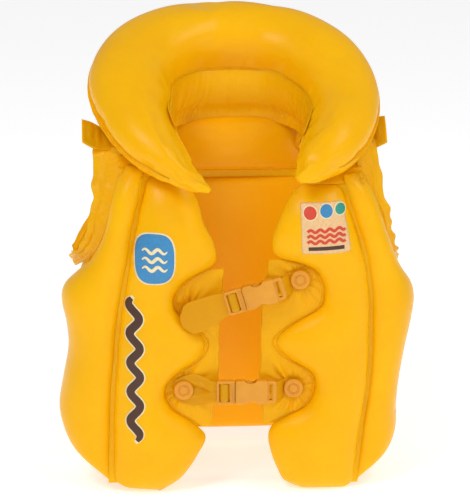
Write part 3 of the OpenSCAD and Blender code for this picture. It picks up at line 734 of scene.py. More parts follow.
def neck_lift(G, t):
    """the upper two thirds billow forward over the yoke, and the foot is drawn back"""
    up = np.sin(np.pi * np.clip((t - 0.0) / 0.74, 0, 1)) ** 0.8 * 6.5
    foot = np.exp(-((t - 0.86) / 0.10) ** 2) * 3.0
    inward = -np.cross(np.gradient(G[:, 0], axis=0), np.array([0, 0, 1.0]))
    inward /= np.linalg.norm(inward, axis=1)[:, None]
    cen = np.array([5.0, 0.0]) - G[:, 0, :2]
    sg = np.sign(np.sum(inward[:, :2] * cen, 1))
    inward *= sg[:, None]
    amt = (up - foot)[None] * (0.55 + 0.45 * back_part)[:, None]
    return inward[:, None] * amt[..., None]


def neck_disp(G, t):
    g1 = np.exp(-((kx + 45) / 13) ** 2) + np.exp(-((kx - 50) / 13) ** 2)
    pleat = np.abs(wave(krun, 51, 0.10, 0.19)) * 3.2 * (g1 * back_part + 0.10)
    low = np.exp(-((t - 0.84) / 0.16) ** 2)
    top = np.exp(-(t / 0.10) ** 2) * 0.6
    return pleat[:, None] * low[None] + (0.6 * wave(krun, 52, 0.06, 0.16))[:, None] * (0.35 + low + top)[None] * np.sin(np.pi * np.clip(t * 1.04, 0, 1))[None]


nk_up = nk[:, :3] - nk[:, 3:]
nk_up /= np.linalg.norm(nk_up, axis=1)[:, None]
nk_out = nk[:, :3] - np.array([5.0, 0.0, 345.0])
nk_out[:, 2] = 0
nk_out /= np.linalg.norm(nk_out, axis=1)[:, None]
nk_top = nk[:, :3] + nk_up * 5.5 + nk_out * 4.5
nk_low = nk[:, 3:] + np.stack([np.zeros(len(nk)), -1.5 * back_part, -5.5 * back_part - 1.0], 1)
film("neck_film_skin", nk_top, nk_low, 34, EDGE, "neck_film", neck_disp, thick=0.6,
     lift=neck_lift)

# ---- armhole ruffles
RUFFLE = [
    [-105, -22, 319, -16, 12, 0], [-107, -34, 306, -21, 12, 0], [-111, -46, 283, -19, 8, 0], [-114, -50, 267, -16, 6, 0],
    [-119, -49, 250, -14, 6, 2], [-124, -45, 233, -12, 6, 4], [-131, -37, 217, -10, 4, 6],
    [-140, -21, 206, -8, 2, 8], [-147, -2, 197, -4, 0, 9], [-146, 18, 194, -4, 0, 9],
    [-140, 36, 204, -8, 0, 7], [-131, 50, 220, -10, -2, 5], [-123, 58, 240, -12, -3, 2],
    [-117, 60, 262, -13, -3, 0], [-112, 58, 282, -14, -3, 0]]


def ruffle(name, node, s, dx, seed, wide=1.0):
    r = cr_rows(RUFFLE, 26)
    q = np.arange(len(r)) / 26 - 1
    far = 1 - 0.42 * np.clip((q - 8.5) / 1.5, 0, 1)
    off = np.interp(q, np.arange(14) + 0.5, dx)
    A = np.stack([s * r[:, 0] + off, r[:, 1], r[:, 2]], 1)
    W = np.stack([s * r[:, 3], r[:, 4], r[:, 5]], 1) * (far * wide)[:, None]
    rn = np.r_[0, np.cumsum(np.linalg.norm(np.diff(A, axis=0), axis=1))]
    A = A - W * (0.16 if wide == 1.0 else 0.75)
    W = W * (1.0 if wide == 1.0 else 1.40)

    def disp(G, t):
        big = wave(rn, seed, 0.014, 0.035) * 2.4
        small = wave(rn, seed + 1, 0.03, 0.07) * 0.8
        root = np.abs(wave(rn, seed + 2, 0.05, 0.12)) * 0.9
        e = np.clip((t - 0.12) / 0.88, 0, 1)
        return big[:, None] * (e ** 1.1)[None] + small[:, None] * (e ** 0.6)[None] \
            + root[:, None] * np.exp(-((t - 0.30) / 0.16) ** 2)[None] + 1.3 * np.exp(-((t - 0.58 - 0.08 * wave(rn, seed + 4, 0.01, 0.03)[:, None]) / 0.09) ** 2)

    def lift(G, t):
        # the free edge is uneven, and turned over a little
        u = W / np.linalg.norm(W, axis=1)[:, None]
        edge = wave(rn, seed + 3, 0.02, 0.07) * 1.6
        return u[:, None] * (edge[:, None] * (t ** 3)[None])[..., None]
    return film(name, A, A + W * 1.18, 22, EDGE, node, disp, thick=0.7, lift=lift)


ruffle("ruffle_film_left", "armhole_ruffle_left", 1, [0] * 14, 61)
ruffle("ruffle_film_right", "armhole_ruffle_right", -1,
       [8, 9, 10, 11, 9, 6, 3, 0, 0, 0, 0, 0, 0, 0], 71, wide=0.62)

# ---- shoulder films and the folded tabs beside them
SHOULDER = [[-42, 303], [-28, 305], [-10, 309], [8, 313], [26, 315], [42, 309], [54, 298]]
SHOULDER_RIGHT = [[-40, 296.5], [-28, 299], [-10, 304], [8, 308], [26, 310], [42, 306], [54, 296]]


def shoulder(name, node, rows, x0, x1, seed):
    r = resample(np.c_[cr_rows(rows, 12), np.zeros((len(rows) - 1) * 12 + 1)][:, [0, 1, 2]], 1.8)
    P = np.stack([np.full(len(r), x0), r[:, 0], r[:, 1] + 0.6], 1)
    Q = np.stack([np.full(len(r), x1), r[:, 0], r[:, 1] + 0.6], 1)
    rn = np.r_[0, np.cumsum(np.linalg.norm(np.diff(P, axis=0), axis=1))]

    def disp(G, t):
        e = np.exp(-t / 0.16) + np.exp(-(1 - t) / 0.16)
        return (1.1 * wave(rn, seed, 0.05, 0.14))[:, None] * e[None] \
            + (0.9 * wave(rn, seed + 1, 0.02, 0.05))[:, None] * np.sin(np.pi * t)[None]
    return film(name, P, Q, 24, EDGE, node, disp, thick=0.7)


shoulder("shoulder_skin_left", "shoulder_film_left", [[-58, 293]] + SHOULDER + [[60, 286], [63, 274]], -107, -59, 81)
shoulder("shoulder_skin_right", "shoulder_film_right", [[-64, 283], [-53, 291]] + SHOULDER_RIGHT + [[60, 285], [63, 273]], 60, 111, 83)


def tab(name, node, rows, seed):
    """a strip of film folded back on itself: outline rows x, y0, y1, z0, z1"""
    r = cr_rows(rows, 9)
    n = len(r)
    nv = 15
    t = np.linspace(0, 1, nv)
    lay = []
    for half, dz in ((0, 2.1), (1, 0.3)):
        A = np.stack([r[:, 0], r[:, 1], r[:, 3] + dz], 1)
        B = np.stack([r[:, 0], r[:, 2], r[:, 4] + dz], 1)
        G = A[:, None] * (1 - t)[None, :, None] + B[:, None] * t[None, :, None]
        G[..., 2] += (0.9 * wave(r[:, 0] * 1.0, seed + half, 0.06, 0.16))[:, None] * np.sin(np.pi * t)[None]
        G[..., 2] += 1.1 * np.sin(np.pi * np.clip(t, 0, 1))[None] * (1 if half == 0 else -0.4)
        lay.append(G)
    ring = np.concatenate([lay[0], lay[1][:, ::-1]], 1)
    P = ring.reshape(-1, 3)
    m = ring.shape[1]
    faces = grid_faces(n, m, loop_m=True)
    o = new_obj(name, M(P), faces, [EDGE])
    solid(o, 0.0006)
    sub(o, 1)
    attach(o, "vest")
    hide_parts(node)
    return o


tab("shoulder_fold_left", "shoulder_tab_left",
    [[-139, -28, -4, 316, 331], [-130, -30, -4, 311, 328], [-120, -28, -4, 309, 322],
     [-104, -26, -4, 306.5, 311]], 91)
tab("shoulder_fold_right", "shoulder_tab_right",
    [[108, -22, 0, 300.5, 306], [120, -26, -4, 305, 314], [128, -28, -4, 308, 328],
     [136, -28, -6, 312, 331]], 93)

# ---- front webs: the recessed film round each strap's rivet
WEB_LEFT = [[62, -39, -27], [72, -51, -25], [84, -64, -22], [98, -67, -20], [112, -56, -19],
            [126, -36, -19], [141, -30, -19], [156, -41, -19], [172, -57, -18],
            [188, -57, -16], [202, -43, -15], [209, -30, -15]]
WEB_RIGHT = [[64, 30, 22], [72, 45, 21], [84, 61, 20], [98, 67, 19], [112, 63, 18],
             [126, 41, 19], [141, 31, 19], [156, 45, 19], [172, 71, 20], [188, 75, 22],
             [203, 70, 24], [212, 57, 25], [217, 40, 25]]
RIVETS = [[-51, -77.6, 98], [48, -77.6, 98], [53.5, -77.6, 199.5]]


def web(name, node, table, edge_tab, sgn, centres, seed):
    r = cr_rows(table, 14)
    z = r[:, 0]
    ch = at_z(edge_tab, z)[:, 0] + sgn * 1.2            # just inside the chamber's own weld
    P = np.stack([ch, np.full_like(z, -72.4), z], 1)
    Q = np.stack([r[:, 2], np.full_like(z, -72.4), z], 1)

    def lift(G, t):
        x, zz_ = G[..., 0], G[..., 2]
        d = np.abs(x - P[:, None, 0])                       # from the chamber's weld
        f = np.abs(x - Q[:, None, 0])                       # from the free edge
        out = np.zeros_like(x)
        wid = np.abs(P[:, 0] - Q[:, 0])[:, None]
        # the film stands out in a low pillow where the recess is wide
        out += 3.4 * np.clip(wid / 45, 0, 1) ** 1.5 * np.sin(np.pi * np.clip(d / np.maximum(wid, 1), 0, 1)) ** 0.8
        for k, (cx, cz) in enumerate(centres):
            rr = np.hypot(x - cx, zz_ - cz)
            th = np.arctan2(zz_ - cz, x - cx)
            env = np.exp(-((rr - 17) / 10.0) ** 2) * (1 - np.exp(-((d + 0.01) / 4.0) ** 2))
            ws = 0
            rs = np.random.RandomState(seed + k)
            for m_ in (5, 7, 9, 11, 14, 17):
                ws = ws + rs.uniform(0.5, 1) * np.sin(m_ * th + rs.uniform(0, 6.28) + 0.02 * rr)
            out += 1.05 * env * ws / 1.6
            out -= 3.2 * np.exp(-(rr / 10.5) ** 4)          # drawn flat under the rivet
        # double weld line along the chamber
        out += 0.7 * np.exp(-((d - 2.9) / 0.55) ** 2) + 0.7 * np.exp(-((d - 4.6) / 0.55) ** 2)
        out -= 0.5 * np.exp(-((d - 3.75) / 0.5) ** 2)
        # hemmed free edge, slightly uneven
        out += 0.5 * np.exp(-((f - 1.2) / 0.6) ** 2)
        out += (0.9 * wave(z, seed + 9, 0.02, 0.08))[:, None] * np.exp(-f / 6)
        L = np.zeros(G.shape)
        L[..., 1] = -out
        L[..., 0] = (0.7 * wave(z, seed + 8, 0.015, 0.06))[:, None] * t[None] ** 4
        return L
    return film(name, P, Q, 64, EDGE, node, None, thick=0.5, lift=lift,
                spread=lambda q: 0.6 * q ** 1.6 + 0.4 * q)


web("front_web_skin_left", "front_web_left", WEB_LEFT, table_edge(TL, 2), -1,
    [(-51, 98), (-46, 171)], 101)
web("front_web_skin_right", "front_web_right", WEB_RIGHT, table_edge(TR, 2), 1,
    [(48, 98), (53.5, 199.5)], 111)

# ------------------------------------------------------- buckles and straps
TILT = math.radians(16)
UPPER = np.array([3, -86, 185.0])
LOWER = np.array([-5, -86, 98.0])


def at_upper(p):
    p = np.atleast_2d(np.asarray(p, float))
    return np.stack([UPPER[0] + p[:, 0] * math.cos(TILT) - p[:, 2] * math.sin(TILT),
                     UPPER[1] + p[:, 1],
                     UPPER[2] + p[:, 0] * math.sin(TILT) + p[:, 2] * math.cos(TILT)], 1)


def at_lower(p):
    return np.atleast_2d(np.asarray(p, float)) + LOWER


def at_flat(p):
    return np.atleast_2d(np.asarray(p, float))


def rounded(poly, r, seg=5):
    """outline with its corners rounded to radius r, which may be one per corner"""
    out = []
    n = len(poly)
    rs = r if hasattr(r, "__len__") else [r] * n
    for i in range(n):
        p = np.array(poly[i], float)
        a, b = np.array(poly[i - 1], float) - p, np.array(poly[(i + 1) % n], float) - p
        la, lb = np.linalg.norm(a), np.linalg.norm(b)
        a, b = a / la, b / lb
        ang = math.acos(max(-1, min(1, float(a @ b))))
        if rs[i] <= 0 or ang > 3.05:
            out.append(p)
            continue
        d = min(rs[i] / math.tan(ang / 2), 0.45 * la, 0.45 * lb)
        p0, p1 = p + a * d, p + b * d
        for k in range(seg + 1):
            t = k / seg
            out.append((1 - t) ** 2 * p0 + 2 * t * (1 - t) * p + t * t * p1)
    return np.array(out)


def prism(poly, y0, y1, place):
    """bmesh of an outline in X, Z drawn out from y0 to y1"""
    n = len(poly)
    lo = place(np.c_[poly[:, 0], np.full(n, y0), poly[:, 1]])
    hi = place(np.c_[poly[:, 0], np.full(n, y1), poly[:, 1]])
    v = M(np.r_[lo, hi])
    f = [tuple(range(n)), tuple(range(2 * n - 1, n - 1, -1))]
    f += [(i, n + i, n + (i + 1) % n, (i + 1) % n) for i in range(n)]
    return v, f


def prism_obj(name, poly, y0, y1, place, bevel=0.0, seg=3, mat=None):
    v, f = prism(np.asarray(poly, float), y0, y1, place)
    o = new_obj(name, v, f, [mat or BUCK], smooth=False)
    bm = bmesh.new()
    bm.from_mesh(o.data)
    bmesh.ops.recalc_face_normals(bm, faces=bm.faces)
    bm.to_mesh(o.data)
    bm.free()
    if bevel:
        b = o.modifiers.new("b", "BEVEL")
        b.width = bevel / 1000
        b.segments = seg
        b.limit_method = "ANGLE"
        b.angle_limit = math.radians(50)
        b.use_clamp_overlap = True
        apply_mods(o)
    return o


def boolean(o, other, op="DIFFERENCE"):
    m = o.modifiers.new("bool", "BOOLEAN")
    m.operation = op
    m.solver = "EXACT"
    m.object = other
    apply_mods(o)
    me = other.data
    bpy.data.objects.remove(other)
    bpy.data.meshes.remove(me)
    return o


def join(objs, name):
    bm = bmesh.new()
    for q in objs:
        bm.from_mesh(q.data)
    o = objs[0]
    bm.to_mesh(o.data)
    bm.free()
    for q in objs[1:]:
        me = q.data
        bpy.data.objects.remove(q)
        bpy.data.meshes.remove(me)
    o.name = name
    o.data.name = name
    return o


def shade(o, deg=40):
    o.data.polygons.foreach_set("use_smooth", [True] * len(o.data.polygons))
    o.data.set_sharp_from_angle(angle=math.radians(deg))


def box2(x0, x1, z0, z1):
    return [(x0, z0), (x1, z0), (x1, z1), (x0, z1)]


BW = 11.0


def settle(o, place):
    """move a mesh made in the buckle's own flat frame to its place on the vest"""
    a = coords(o)
    set_coords(o, M(place(a * 1000 - ORG)))


def socket(name, node, place):
    w = BW
    side = []
    xs = np.linspace(8.6, 19.4, 13)
    dip = 2.6 * np.sin(np.pi * (xs - 8.6) / 10.8) ** 0.55
    lowr = [(0, -w + 1.5), (1.5, -w), (8, -w)] + [(x, -w + d) for x, d in zip(xs, dip)] + [(20, -w), (27, -w), (29, -w + 1)]
    upp = [(x, -z) for x, z in lowr[::-1]]
    poly = rounded(lowr + upp, 0.7, 3)
    final, place = place, at_flat
    b = prism_obj(name, poly, -4, 4, place, 1.15, 4)
    boolean(b, prism_obj("c1", rounded(box2(-1, 23, -8, 8), 0.4, 2), -2.5, 2.5, place))
    boolean(b, prism_obj("c2", rounded(box2(9, 19, -w - 2, w + 2), 1.2, 4), -2.5, 2.5, place))
    parts = [b]
    # strap loop: a ring of plate with its long slot
    ring = prism_obj("loop", rounded(box2(27.8, 37, -w + 1, w - 1), [0.4, 2.6, 2.6, 0.4], 6), -2.5, 2.5, place, 0.9, 4)
    boolean(ring, prism_obj("slot", rounded(box2(30.5, 34, -w + 3.2, w - 3.2), 1.0, 5), -4, 4, place))
    parts.append(ring)
    parts.append(prism_obj("lip", rounded(box2(0.2, 1.5, -w + 2.2, w - 2.2), 0.5, 4), -4.25, -3.4, place, 0.25, 2))
    o = join(parts, name)
    settle(o, final)
    shade(o, 38)
    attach(o, "vest")
    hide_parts(node)
    return o


def plug(name, node, body, place):
    w = BW
    final, place = place, at_flat
    fr = prism_obj(name, rounded(box2(-17, -0.3, -w, w), [2.4, 1.2, 1.2, 2.4], 6), -3, 3, place, 0.85, 4)
    for a, b_ in ((-14.6, -11.0), (-8.6, -5.0)):
        boolean(fr, prism_obj("s", rounded(box2(a, b_, -w + 2.4, w - 2.4), 0.9, 4), -5, 5, place))
    parts = [fr]
    # gripping teeth on the middle bar, and a raised outer bar
    for x in (-10.5, -9.8, -9.1):
        parts.append(prism_obj("tooth", rounded(box2(x - 0.22, x + 0.22, -w + 3.2, w - 3.2), 0.2, 2), -3.35, -2.6, place, 0.1, 1))
    parts.append(prism_obj("bar", rounded(box2(-16.5, -15.1, -w + 1.6, w - 1.6), 0.6, 4), -3.6, -2.6, place, 0.3, 3))
    for x in (-3.8, -2.2):
        parts.append(prism_obj("rib", rounded(box2(x - 0.4, x + 0.4, -w + 1.6, w - 1.6), 0.35, 3), -3.4, -2.6, place, 0.18, 2))
    tongue = prism_obj("tongue", rounded([(-0.6, -2.0), (13.0, -2.0), (15.4, -1.2), (15.4, 1.2), (13.0, 2.0), (-0.6, 2.0)], 0.5, 3), -1.8, 1.8, place, 0.5, 3)
    parts.append(tongue)
    o = join(parts, name)
    settle(o, final)
    shade(o, 38)
    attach(o, body)
    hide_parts(node)
    return o


def arm(name, node, body, place, s):
    w = BW
    pts = [(0.1, 4.4), (0.1, 7), (9, 7.3), (10, w - 1.2), (11.5, w - 0.6), (15, w - 2), (20, 5.2),
           (20, 3.6), (13, 5.6), (6, 4.6)]
    poly = rounded([(x, s * z) for x, z in pts][:: int(s)], [0.3, 0.3, 0.8, 0.8, 0.8, 1.6, 0.5, 0.5, 1.4, 1.4][:: int(s)], 5)
    a = prism_obj(name, poly, -1.8, 1.8, place, 0.5, 3)
    parts = [a]
    for k in range(4):
        x = 11.3 + k * 1.05
        z = s * (w - 0.75 - 0.36 * k)
        parts.append(prism_obj("g", rounded([(x - 0.28, z - s * 1.1), (x + 0.28, z - s * 1.1), (x + 0.28, z + s * 0.12), (x - 0.28, z + s * 0.12)], 0.15, 2), -1.6, 1.6, place, 0.1, 1))
    o = join(parts, name)
    fix_normals(o)
    shade(o, 38)
    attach(o, body)
    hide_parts(node)
    return o


socket("upper_socket_shell", "upper_buckle_socket", at_upper)
plug("upper_plug_frame", "upper_buckle_plug", "upper_plug", at_upper)
arm("upper_arm_top_shell", "upper_latch_arm_top", "upper_arm_top", at_upper, 1)
arm("upper_arm_bottom_shell", "upper_latch_arm_bottom", "upper_arm_bottom", at_upper, -1)
socket("lower_socket_shell", "lower_buckle_socket", at_lower)
plug("lower_plug_frame", "lower_buckle_plug", "lower_plug", at_lower)
arm("lower_arm_top_shell", "lower_latch_arm_top", "lower_arm_top", at_lower, 1)
arm("lower_arm_bottom_shell", "lower_latch_arm_bottom", "lower_arm_bottom", at_lower, -1)


def strap(name, rows, place, node, mat, thick=1.1, disp=None, nv=25, step=0.8, fade=None):
    """flat band along rows of x, y, half width, middle height in the buckle's own frame"""
    d = cr_rows(rows, 16)
    ln = np.r_[0, np.cumsum(np.hypot(np.diff(d[:, 0]), np.diff(d[:, 1])))]
    q = np.linspace(0, ln[-1], int(ln[-1] / step) + 2)
    d = np.stack([np.interp(q, ln, d[:, k]) for k in range(4)], 1)
    t = np.linspace(-1, 1, nv)
    G = np.zeros((len(d), nv, 3))
    G[..., 0] = d[:, None, 0]
    G[..., 1] = d[:, None, 1]
    G[..., 2] = d[:, None, 3] + d[:, None, 2] * t[None]
    if disp is not None:
        G = G + disp(G, t, q)
    n = len(d)
    P = place(G.reshape(-1, 3))
    uv = np.array([(j / (nv - 1), q[i] / q[-1]) for i in range(n) for j in range(nv)])
    o = new_obj(name, M(P), grid_faces(n, nv), [mat], uv=uv)
    solid(o, thick / 1000)
    b = o.modifiers.new("b", "BEVEL")
    b.width = 0.00028
    b.segments = 2
    b.limit_method = "ANGLE"
    b.angle_limit = math.radians(60)
    apply_mods(o)
    o.data.polygons.foreach_set("use_smooth", [True] * len(o.data.polygons))
    if node:
        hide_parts(node)
    return o


# the upper left strap's loose end lies over the recess, smooth and flat, round at its end
def round_end(G, t, q):
    D = np.zeros(G.shape)
    D[..., 0] += 5.0 * (t[None] ** 4) * np.exp(-(q / 5.0) ** 1.4)[:, None]
    D[..., 1] += -0.9 * np.cos(t * np.pi / 2)[None] * np.sin(np.pi * np.clip(q / q[-1], 0, 1))[:, None] + 0.5 * (t[None] ** 2)
    # thin welded border
    D[..., 1] += -0.35 * np.exp(-((np.abs(t) - 0.88) / 0.04) ** 2)[None]
    return D


UT = strap("upper_strap_tail", [[-60, 1.6, 8.6, -5], [-57, 1.4, 12.2, -4.6], [-50, 0.9, 14.6, -4],
                                [-38, 0.4, 14.4, -3], [-27, 0.2, 12.8, -1.4], [-17.3, 0, 10.2, 0],
                                [-14.4, -1.2, 8.3, 0]],
           at_upper, "upper_strap_tab", TAB, 1.0, round_end, nv=41)
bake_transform(UT)


# the lower left strap is pulled tight and creased into folds between its rivet and the buckle
def folds(G, t, q):
    D = np.zeros(G.shape)
    x = G[..., 0]
    for a_, b_, w_, h_ in ((-20, 9, 2.2, -2.2), (-20, -7, 2.0, -1.8), (-20, 2, 1.6, 1.3)):
        # creases fan out from the buckle's bar to the rivet
        zc = (b_) * np.clip((-x - 17) / 24, 0, 1.1)
        D[..., 1] += h_ * np.exp(-((G[..., 2] - zc) / w_) ** 2) * np.clip((-x - 16) / 8, 0, 1) * np.clip((46 + x) / 8, 0, 1)
    D[..., 1] += 0.5 * np.sin(t * 9)[None] * np.exp(-((x + 22) / 6) ** 2)
    return D


LT = strap("lower_strap_folds", [[-54, 9.4, 8, 0], [-48, 9.4, 12, 0], [-37, 8.6, 15, 0],
                                 [-30, 6.2, 13.4, 0], [-22, 1.2, 10.4, 0], [-17.3, 0, 9.4, 0],
                                 [-14.4, -1.2, 8.2, 0]],
           at_lower, "lower_strap_left", TAB, 0.9, folds, nv=49)
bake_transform(LT)


def short_disp(G, t, q):
    D = np.zeros(G.shape)
    x = G[..., 0]
    D[..., 1] += -0.9 * np.abs(np.sin(t * 4.2 + 0.6))[None] * np.exp(-((x - 40.5) / 3.6) ** 2)
    D[..., 1] += 0.5 * (t[None] ** 2) * np.exp(-((x - 38) / 4) ** 2)
    return D


SHORT = [[32.6, -1.6, 7.4, 0], [35.6, -1.9, 8.2, 0], [37.6, -0.4, 8.8, 0], [40, 2.6, 9, 0], [43, 7.6, 8.8, 0],
         [45.4, 9.2, 9, 0], [58, 9.4, 7, 0]]
for nm, nd, pl in (("upper_strap_short", "upper_strap_right", at_upper),
                   ("lower_strap_short", "lower_strap_right", at_lower)):
    o = strap(nm, SHORT, pl, nd, TAB, 0.9, short_disp, nv=33)
    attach(o, "vest")

# strap passed through the plug's bars, riding with the plug
for nm, pl, bd in (("upper_bar_wrap", at_upper, "upper_plug"), ("lower_bar_wrap", at_lower, "lower_plug")):
    rows = [[-14.2, -0.4, 8.2, 0], [-12.9, -2.5, 8.2, 0], [-11.0, -3.75, 8.2, 0], [-8.6, -3.75, 8.2, 0],
            [-6.9, -2.4, 8.2, 0], [-5.9, -0.2, 8.2, 0], [-7.2, 2.6, 8.2, 0], [-9.8, 3.7, 8.2, 0]]
    o = strap(nm, rows, pl, None, TAB, 0.8, None, nv=21, step=0.5)
    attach(o, bd)


# --------------------------------------------------------- turned parts
def turned(name, prof, place, node, body, mat, seg=56, closed=True, extra=None):
    """closed profile of radius and height, turned about its axis; place maps x, y, z to mm"""
    prof = np.asarray(prof, float)
    n = len(prof)
    a = 2 * np.pi * np.arange(seg) / seg
    pts = np.stack([prof[:, None, 0] * np.cos(a)[None], prof[:, None, 0] * np.sin(a)[None],
                    np.repeat(prof[:, None, 1], seg, 1)], 2)
    o = new_obj(name, M(place(pts.reshape(-1, 3))), grid_faces(n, seg, loop_m=True, loop_n=closed), [mat])
    fix_normals(o)
    o.data.polygons.foreach_set("use_smooth", [True] * len(o.data.polygons))
    o.data.set_sharp_from_angle(angle=math.radians(45))
    if node:
        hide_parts(*([node] if isinstance(node, str) else node))
    if body:
        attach(o, body)
    return o


def arcs(pts, r=0.4, seg=4):
    return rounded(pts, r, seg)


caps = []
for k, p in enumerate(RIVETS):
    def pl(q, p=p):
        q = np.atleast_2d(q)
        return np.stack([p[0] + q[:, 0], p[1] - q[:, 2], p[2] + q[:, 1]], 1)
    prof = arcs([(0.02, 0.0), (8.9, 0.0), (9.1, 0.9), (8.4, 2.3), (6.6, 2.75), (5.3, 2.1), (4.9, 1.25), (4.1, 1.15), (3.4, 1.9), (0.02, 2.1)], 0.45, 5)
    caps.append(turned(f"cap{k}", prof, pl, None, None, BUCK))


def plh(q):
    q = np.atleast_2d(q)
    return np.stack([-46 + q[:, 0], -73.6 - q[:, 2], 171 + q[:, 1]], 1)


caps.append(turned("cap3", arcs([(0.02, 0), (7, 0), (7, 3.6), (5.8, 5.0), (0.02, 5.0)], 0.5, 4), plh, None, None, BUCK))
o = join(caps, "rivet_caps")
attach(o, "vest")
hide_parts("strap_rivet_caps")
backs = []
for k, p in enumerate(RIVETS + [[-46, -77.9, 171]]):
    def pb(q, p=p):
        q = np.atleast_2d(q)
        return np.stack([p[0] + q[:, 0], -71.6 + q[:, 2], p[2] + q[:, 1]], 1)
    backs.append(turned(f"back{k}", arcs([(0.02, 0), (7, 0), (7, 1.0), (6.2, 2.0), (4.2, 2.0), (3.6, 1.4), (0.02, 1.4)], 0.4, 4), pb, None, None, BUCK))
o = join(backs, "rivet_backs")
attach(o, "vest")
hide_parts("strap_rivet_backs")

# ---- valves
VALVES = {"left": (-42, 86, 224, 0), "right": (42, 86, 224, 0), "collar": (5, 118.2, 382, 10)}
for vn, (vx, vy, vz, tl) in VALVES.items():
    ca, sa = math.cos(math.radians(-90 + tl)), math.sin(math.radians(-90 + tl))

    def vp(q, vx=vx, vy=vy, vz=vz, ca=ca, sa=sa):
        q = np.atleast_2d(q)
        return np.stack([vx + q[:, 0], vy + q[:, 1] * ca - q[:, 2] * sa, vz + q[:, 1] * sa + q[:, 2] * ca], 1)
    R, S, B_ = 11.0, 4.5, 3.0
    prof = arcs([(R - 2, -11.4), (R - 2, -0.2), (R, 0), (R, 0.5), (R - 0.6, 1.35), (R - 1.4, 1.0), (R - 2.2, 1.35), (R - 3.2, 1.0),
                 (R - 3.2, -10), (S + 0.08, -10), (S + 0.08, -11.4)], 0.3, 4)
    turned(vn + "_valve_cup", prof, vp, vn + "_valve_base", "vest", VALV)
    prof = arcs([(B_, -11.2), (S, -11.2), (S, -2.4), (S + 0.2, -2.2), (S + 1.4, -2.0), (S + 1.4, -0.6), (S + 0.9, -0.2), (B_, -0.2)], 0.3, 4)
    turned(vn + "_valve_tube", prof, vp, vn + "_valve_stem", vn + "_stem", VALV)
    prof = arcs([(0.02, -5.2), (B_ - 0.5, -5.2), (B_ - 0.05, -4.6), (B_ - 0.05, 0), (S + 0.8, 0), (S + 1.0, 0.4), (S + 0.9, 1.2), (S + 0.2, 1.6),
                 (2.2, 1.6), (1.8, 1.3), (0.02, 1.3)], 0.25, 4)
    turned(vn + "_valve_stopper", prof, vp, vn + "_valve_plug", vn + "_stopper", VALV)

# ------------------------------------------------------------- the prints
def plain(name, col, rough=0.42, sss=0.0):
    m, nt, p = nodes_of(name)
    tc = nt.nodes.new("ShaderNodeTexCoord").outputs["Object"]
    nz = noise(nt, 420.0, 4, 0.65, tc)
    lo = tuple(c * 0.90 for c in col)
    hi = tuple(min(1, c * 1.06) for c in col)
    r = ramp(nt, nz.outputs["Fac"], [(0.35, lo), (0.65, hi)])
    link(nt, r.outputs[0], p.inputs["Base Color"])
    rr = mathn(nt, "MULTIPLY_ADD", nz.outputs["Fac"], 0.15)
    rr.node.inputs[2].default_value = rough - 0.07
    link(nt, rr, p.inputs["Roughness"])
    g = noise(nt, 1500.0, 2, 0.5, tc)
    link(nt, bump(nt, g.outputs["Fac"], 0.2, 0.00008), p.inputs["Normal"])
    return m


INK_BLUE = plain("ink_blue", (0.035, 0.235, 0.490))
INK_PALE = plain("ink_pale", (0.860, 0.720, 0.420))
INK_DARK = plain("ink_brown", (0.060, 0.018, 0.006))
INK_WHITE = plain("ink_white", (0.790, 0.500, 0.235))
INK_RED = plain("ink_red", (0.640, 0.050, 0.020))
INK_GREEN = plain("ink_green", (0.020, 0.300, 0.230))
TREES = {}


def tree(o):
    if o.name not in TREES:
        bm = bmesh.new()
        bm.from_mesh(o.data)
        TREES[o.name] = BVHTree.FromBMesh(bm)
        bm.free()
    return TREES[o.name]


def decal(name, skin, G, mat, off=0.15):
    """a printed shape laid on a chamber: G is a grid of x, z in mm, cast back along +Y"""
    n, m, _ = G.shape
    tr = tree(skin)
    V = []
    mid = G.reshape(-1, 2).mean(0)
    for q in G.reshape(-1, 2):
        for pull in range(60):
            x, z = q + (mid - q) * (0.01 * pull)
            h, nrm, _, _ = tr.ray_cast(Vector(M([x, -260, z])), Vector((0, 1, 0)))
            if h is not None and abs(nrm.y) > 0.3:
                break
        if nrm.y > 0:
            nrm = -nrm
        V.append(h + nrm * (off / 1000))
    o = new_obj(name, V, grid_faces(n, m), [mat])
    bm = bmesh.new()
    bm.from_mesh(o.data)
    bmesh.ops.remove_doubles(bm, verts=bm.verts, dist=2e-6)
    bmesh.ops.dissolve_degenerate(bm, edges=bm.edges, dist=1e-7)
    bm.normal_update()
    if sum(f.normal.y for f in bm.faces) > 0:
        bmesh.ops.reverse_faces(bm, faces=bm.faces)
    bm.to_mesh(o.data)
    bm.free()
    solid(o, 0.00012)
    o.data.polygons.foreach_set("use_smooth", [True] * len(o.data.polygons))
    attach(o, "vest")
    return o


def disc(cx, cz, rx, rz, pw=2.0, nr=14, na=72, r0=0.02):
    a = np.linspace(0, 2 * np.pi, na + 1)
    r = np.linspace(r0, 1, nr)
    c, s_ = np.cos(a), np.sin(a)
    k = (np.abs(c) ** pw + np.abs(s_) ** pw) ** (-1 / pw)
    return np.stack([cx + rx * r[:, None] * (k * c)[None], cz + rz * r[:, None] * (k * s_)[None]], 2)


def ribbon2(path, half, n=90, m=7):
    """grid along a path of x, z with the half width given"""
    p = np.asarray(path, float)
    d = np.gradient(p, axis=0)
    d /= np.linalg.norm(d, axis=1)[:, None]
    nn = np.stack([-d[:, 1], d[:, 0]], 1)
    h = np.asarray(half, float) if hasattr(half, "__len__") else np.full(len(p), half)
    t = np.linspace(-1, 1, m)
    return p[:, None] + nn[:, None] * (h[:, None] * t[None])[..., None]


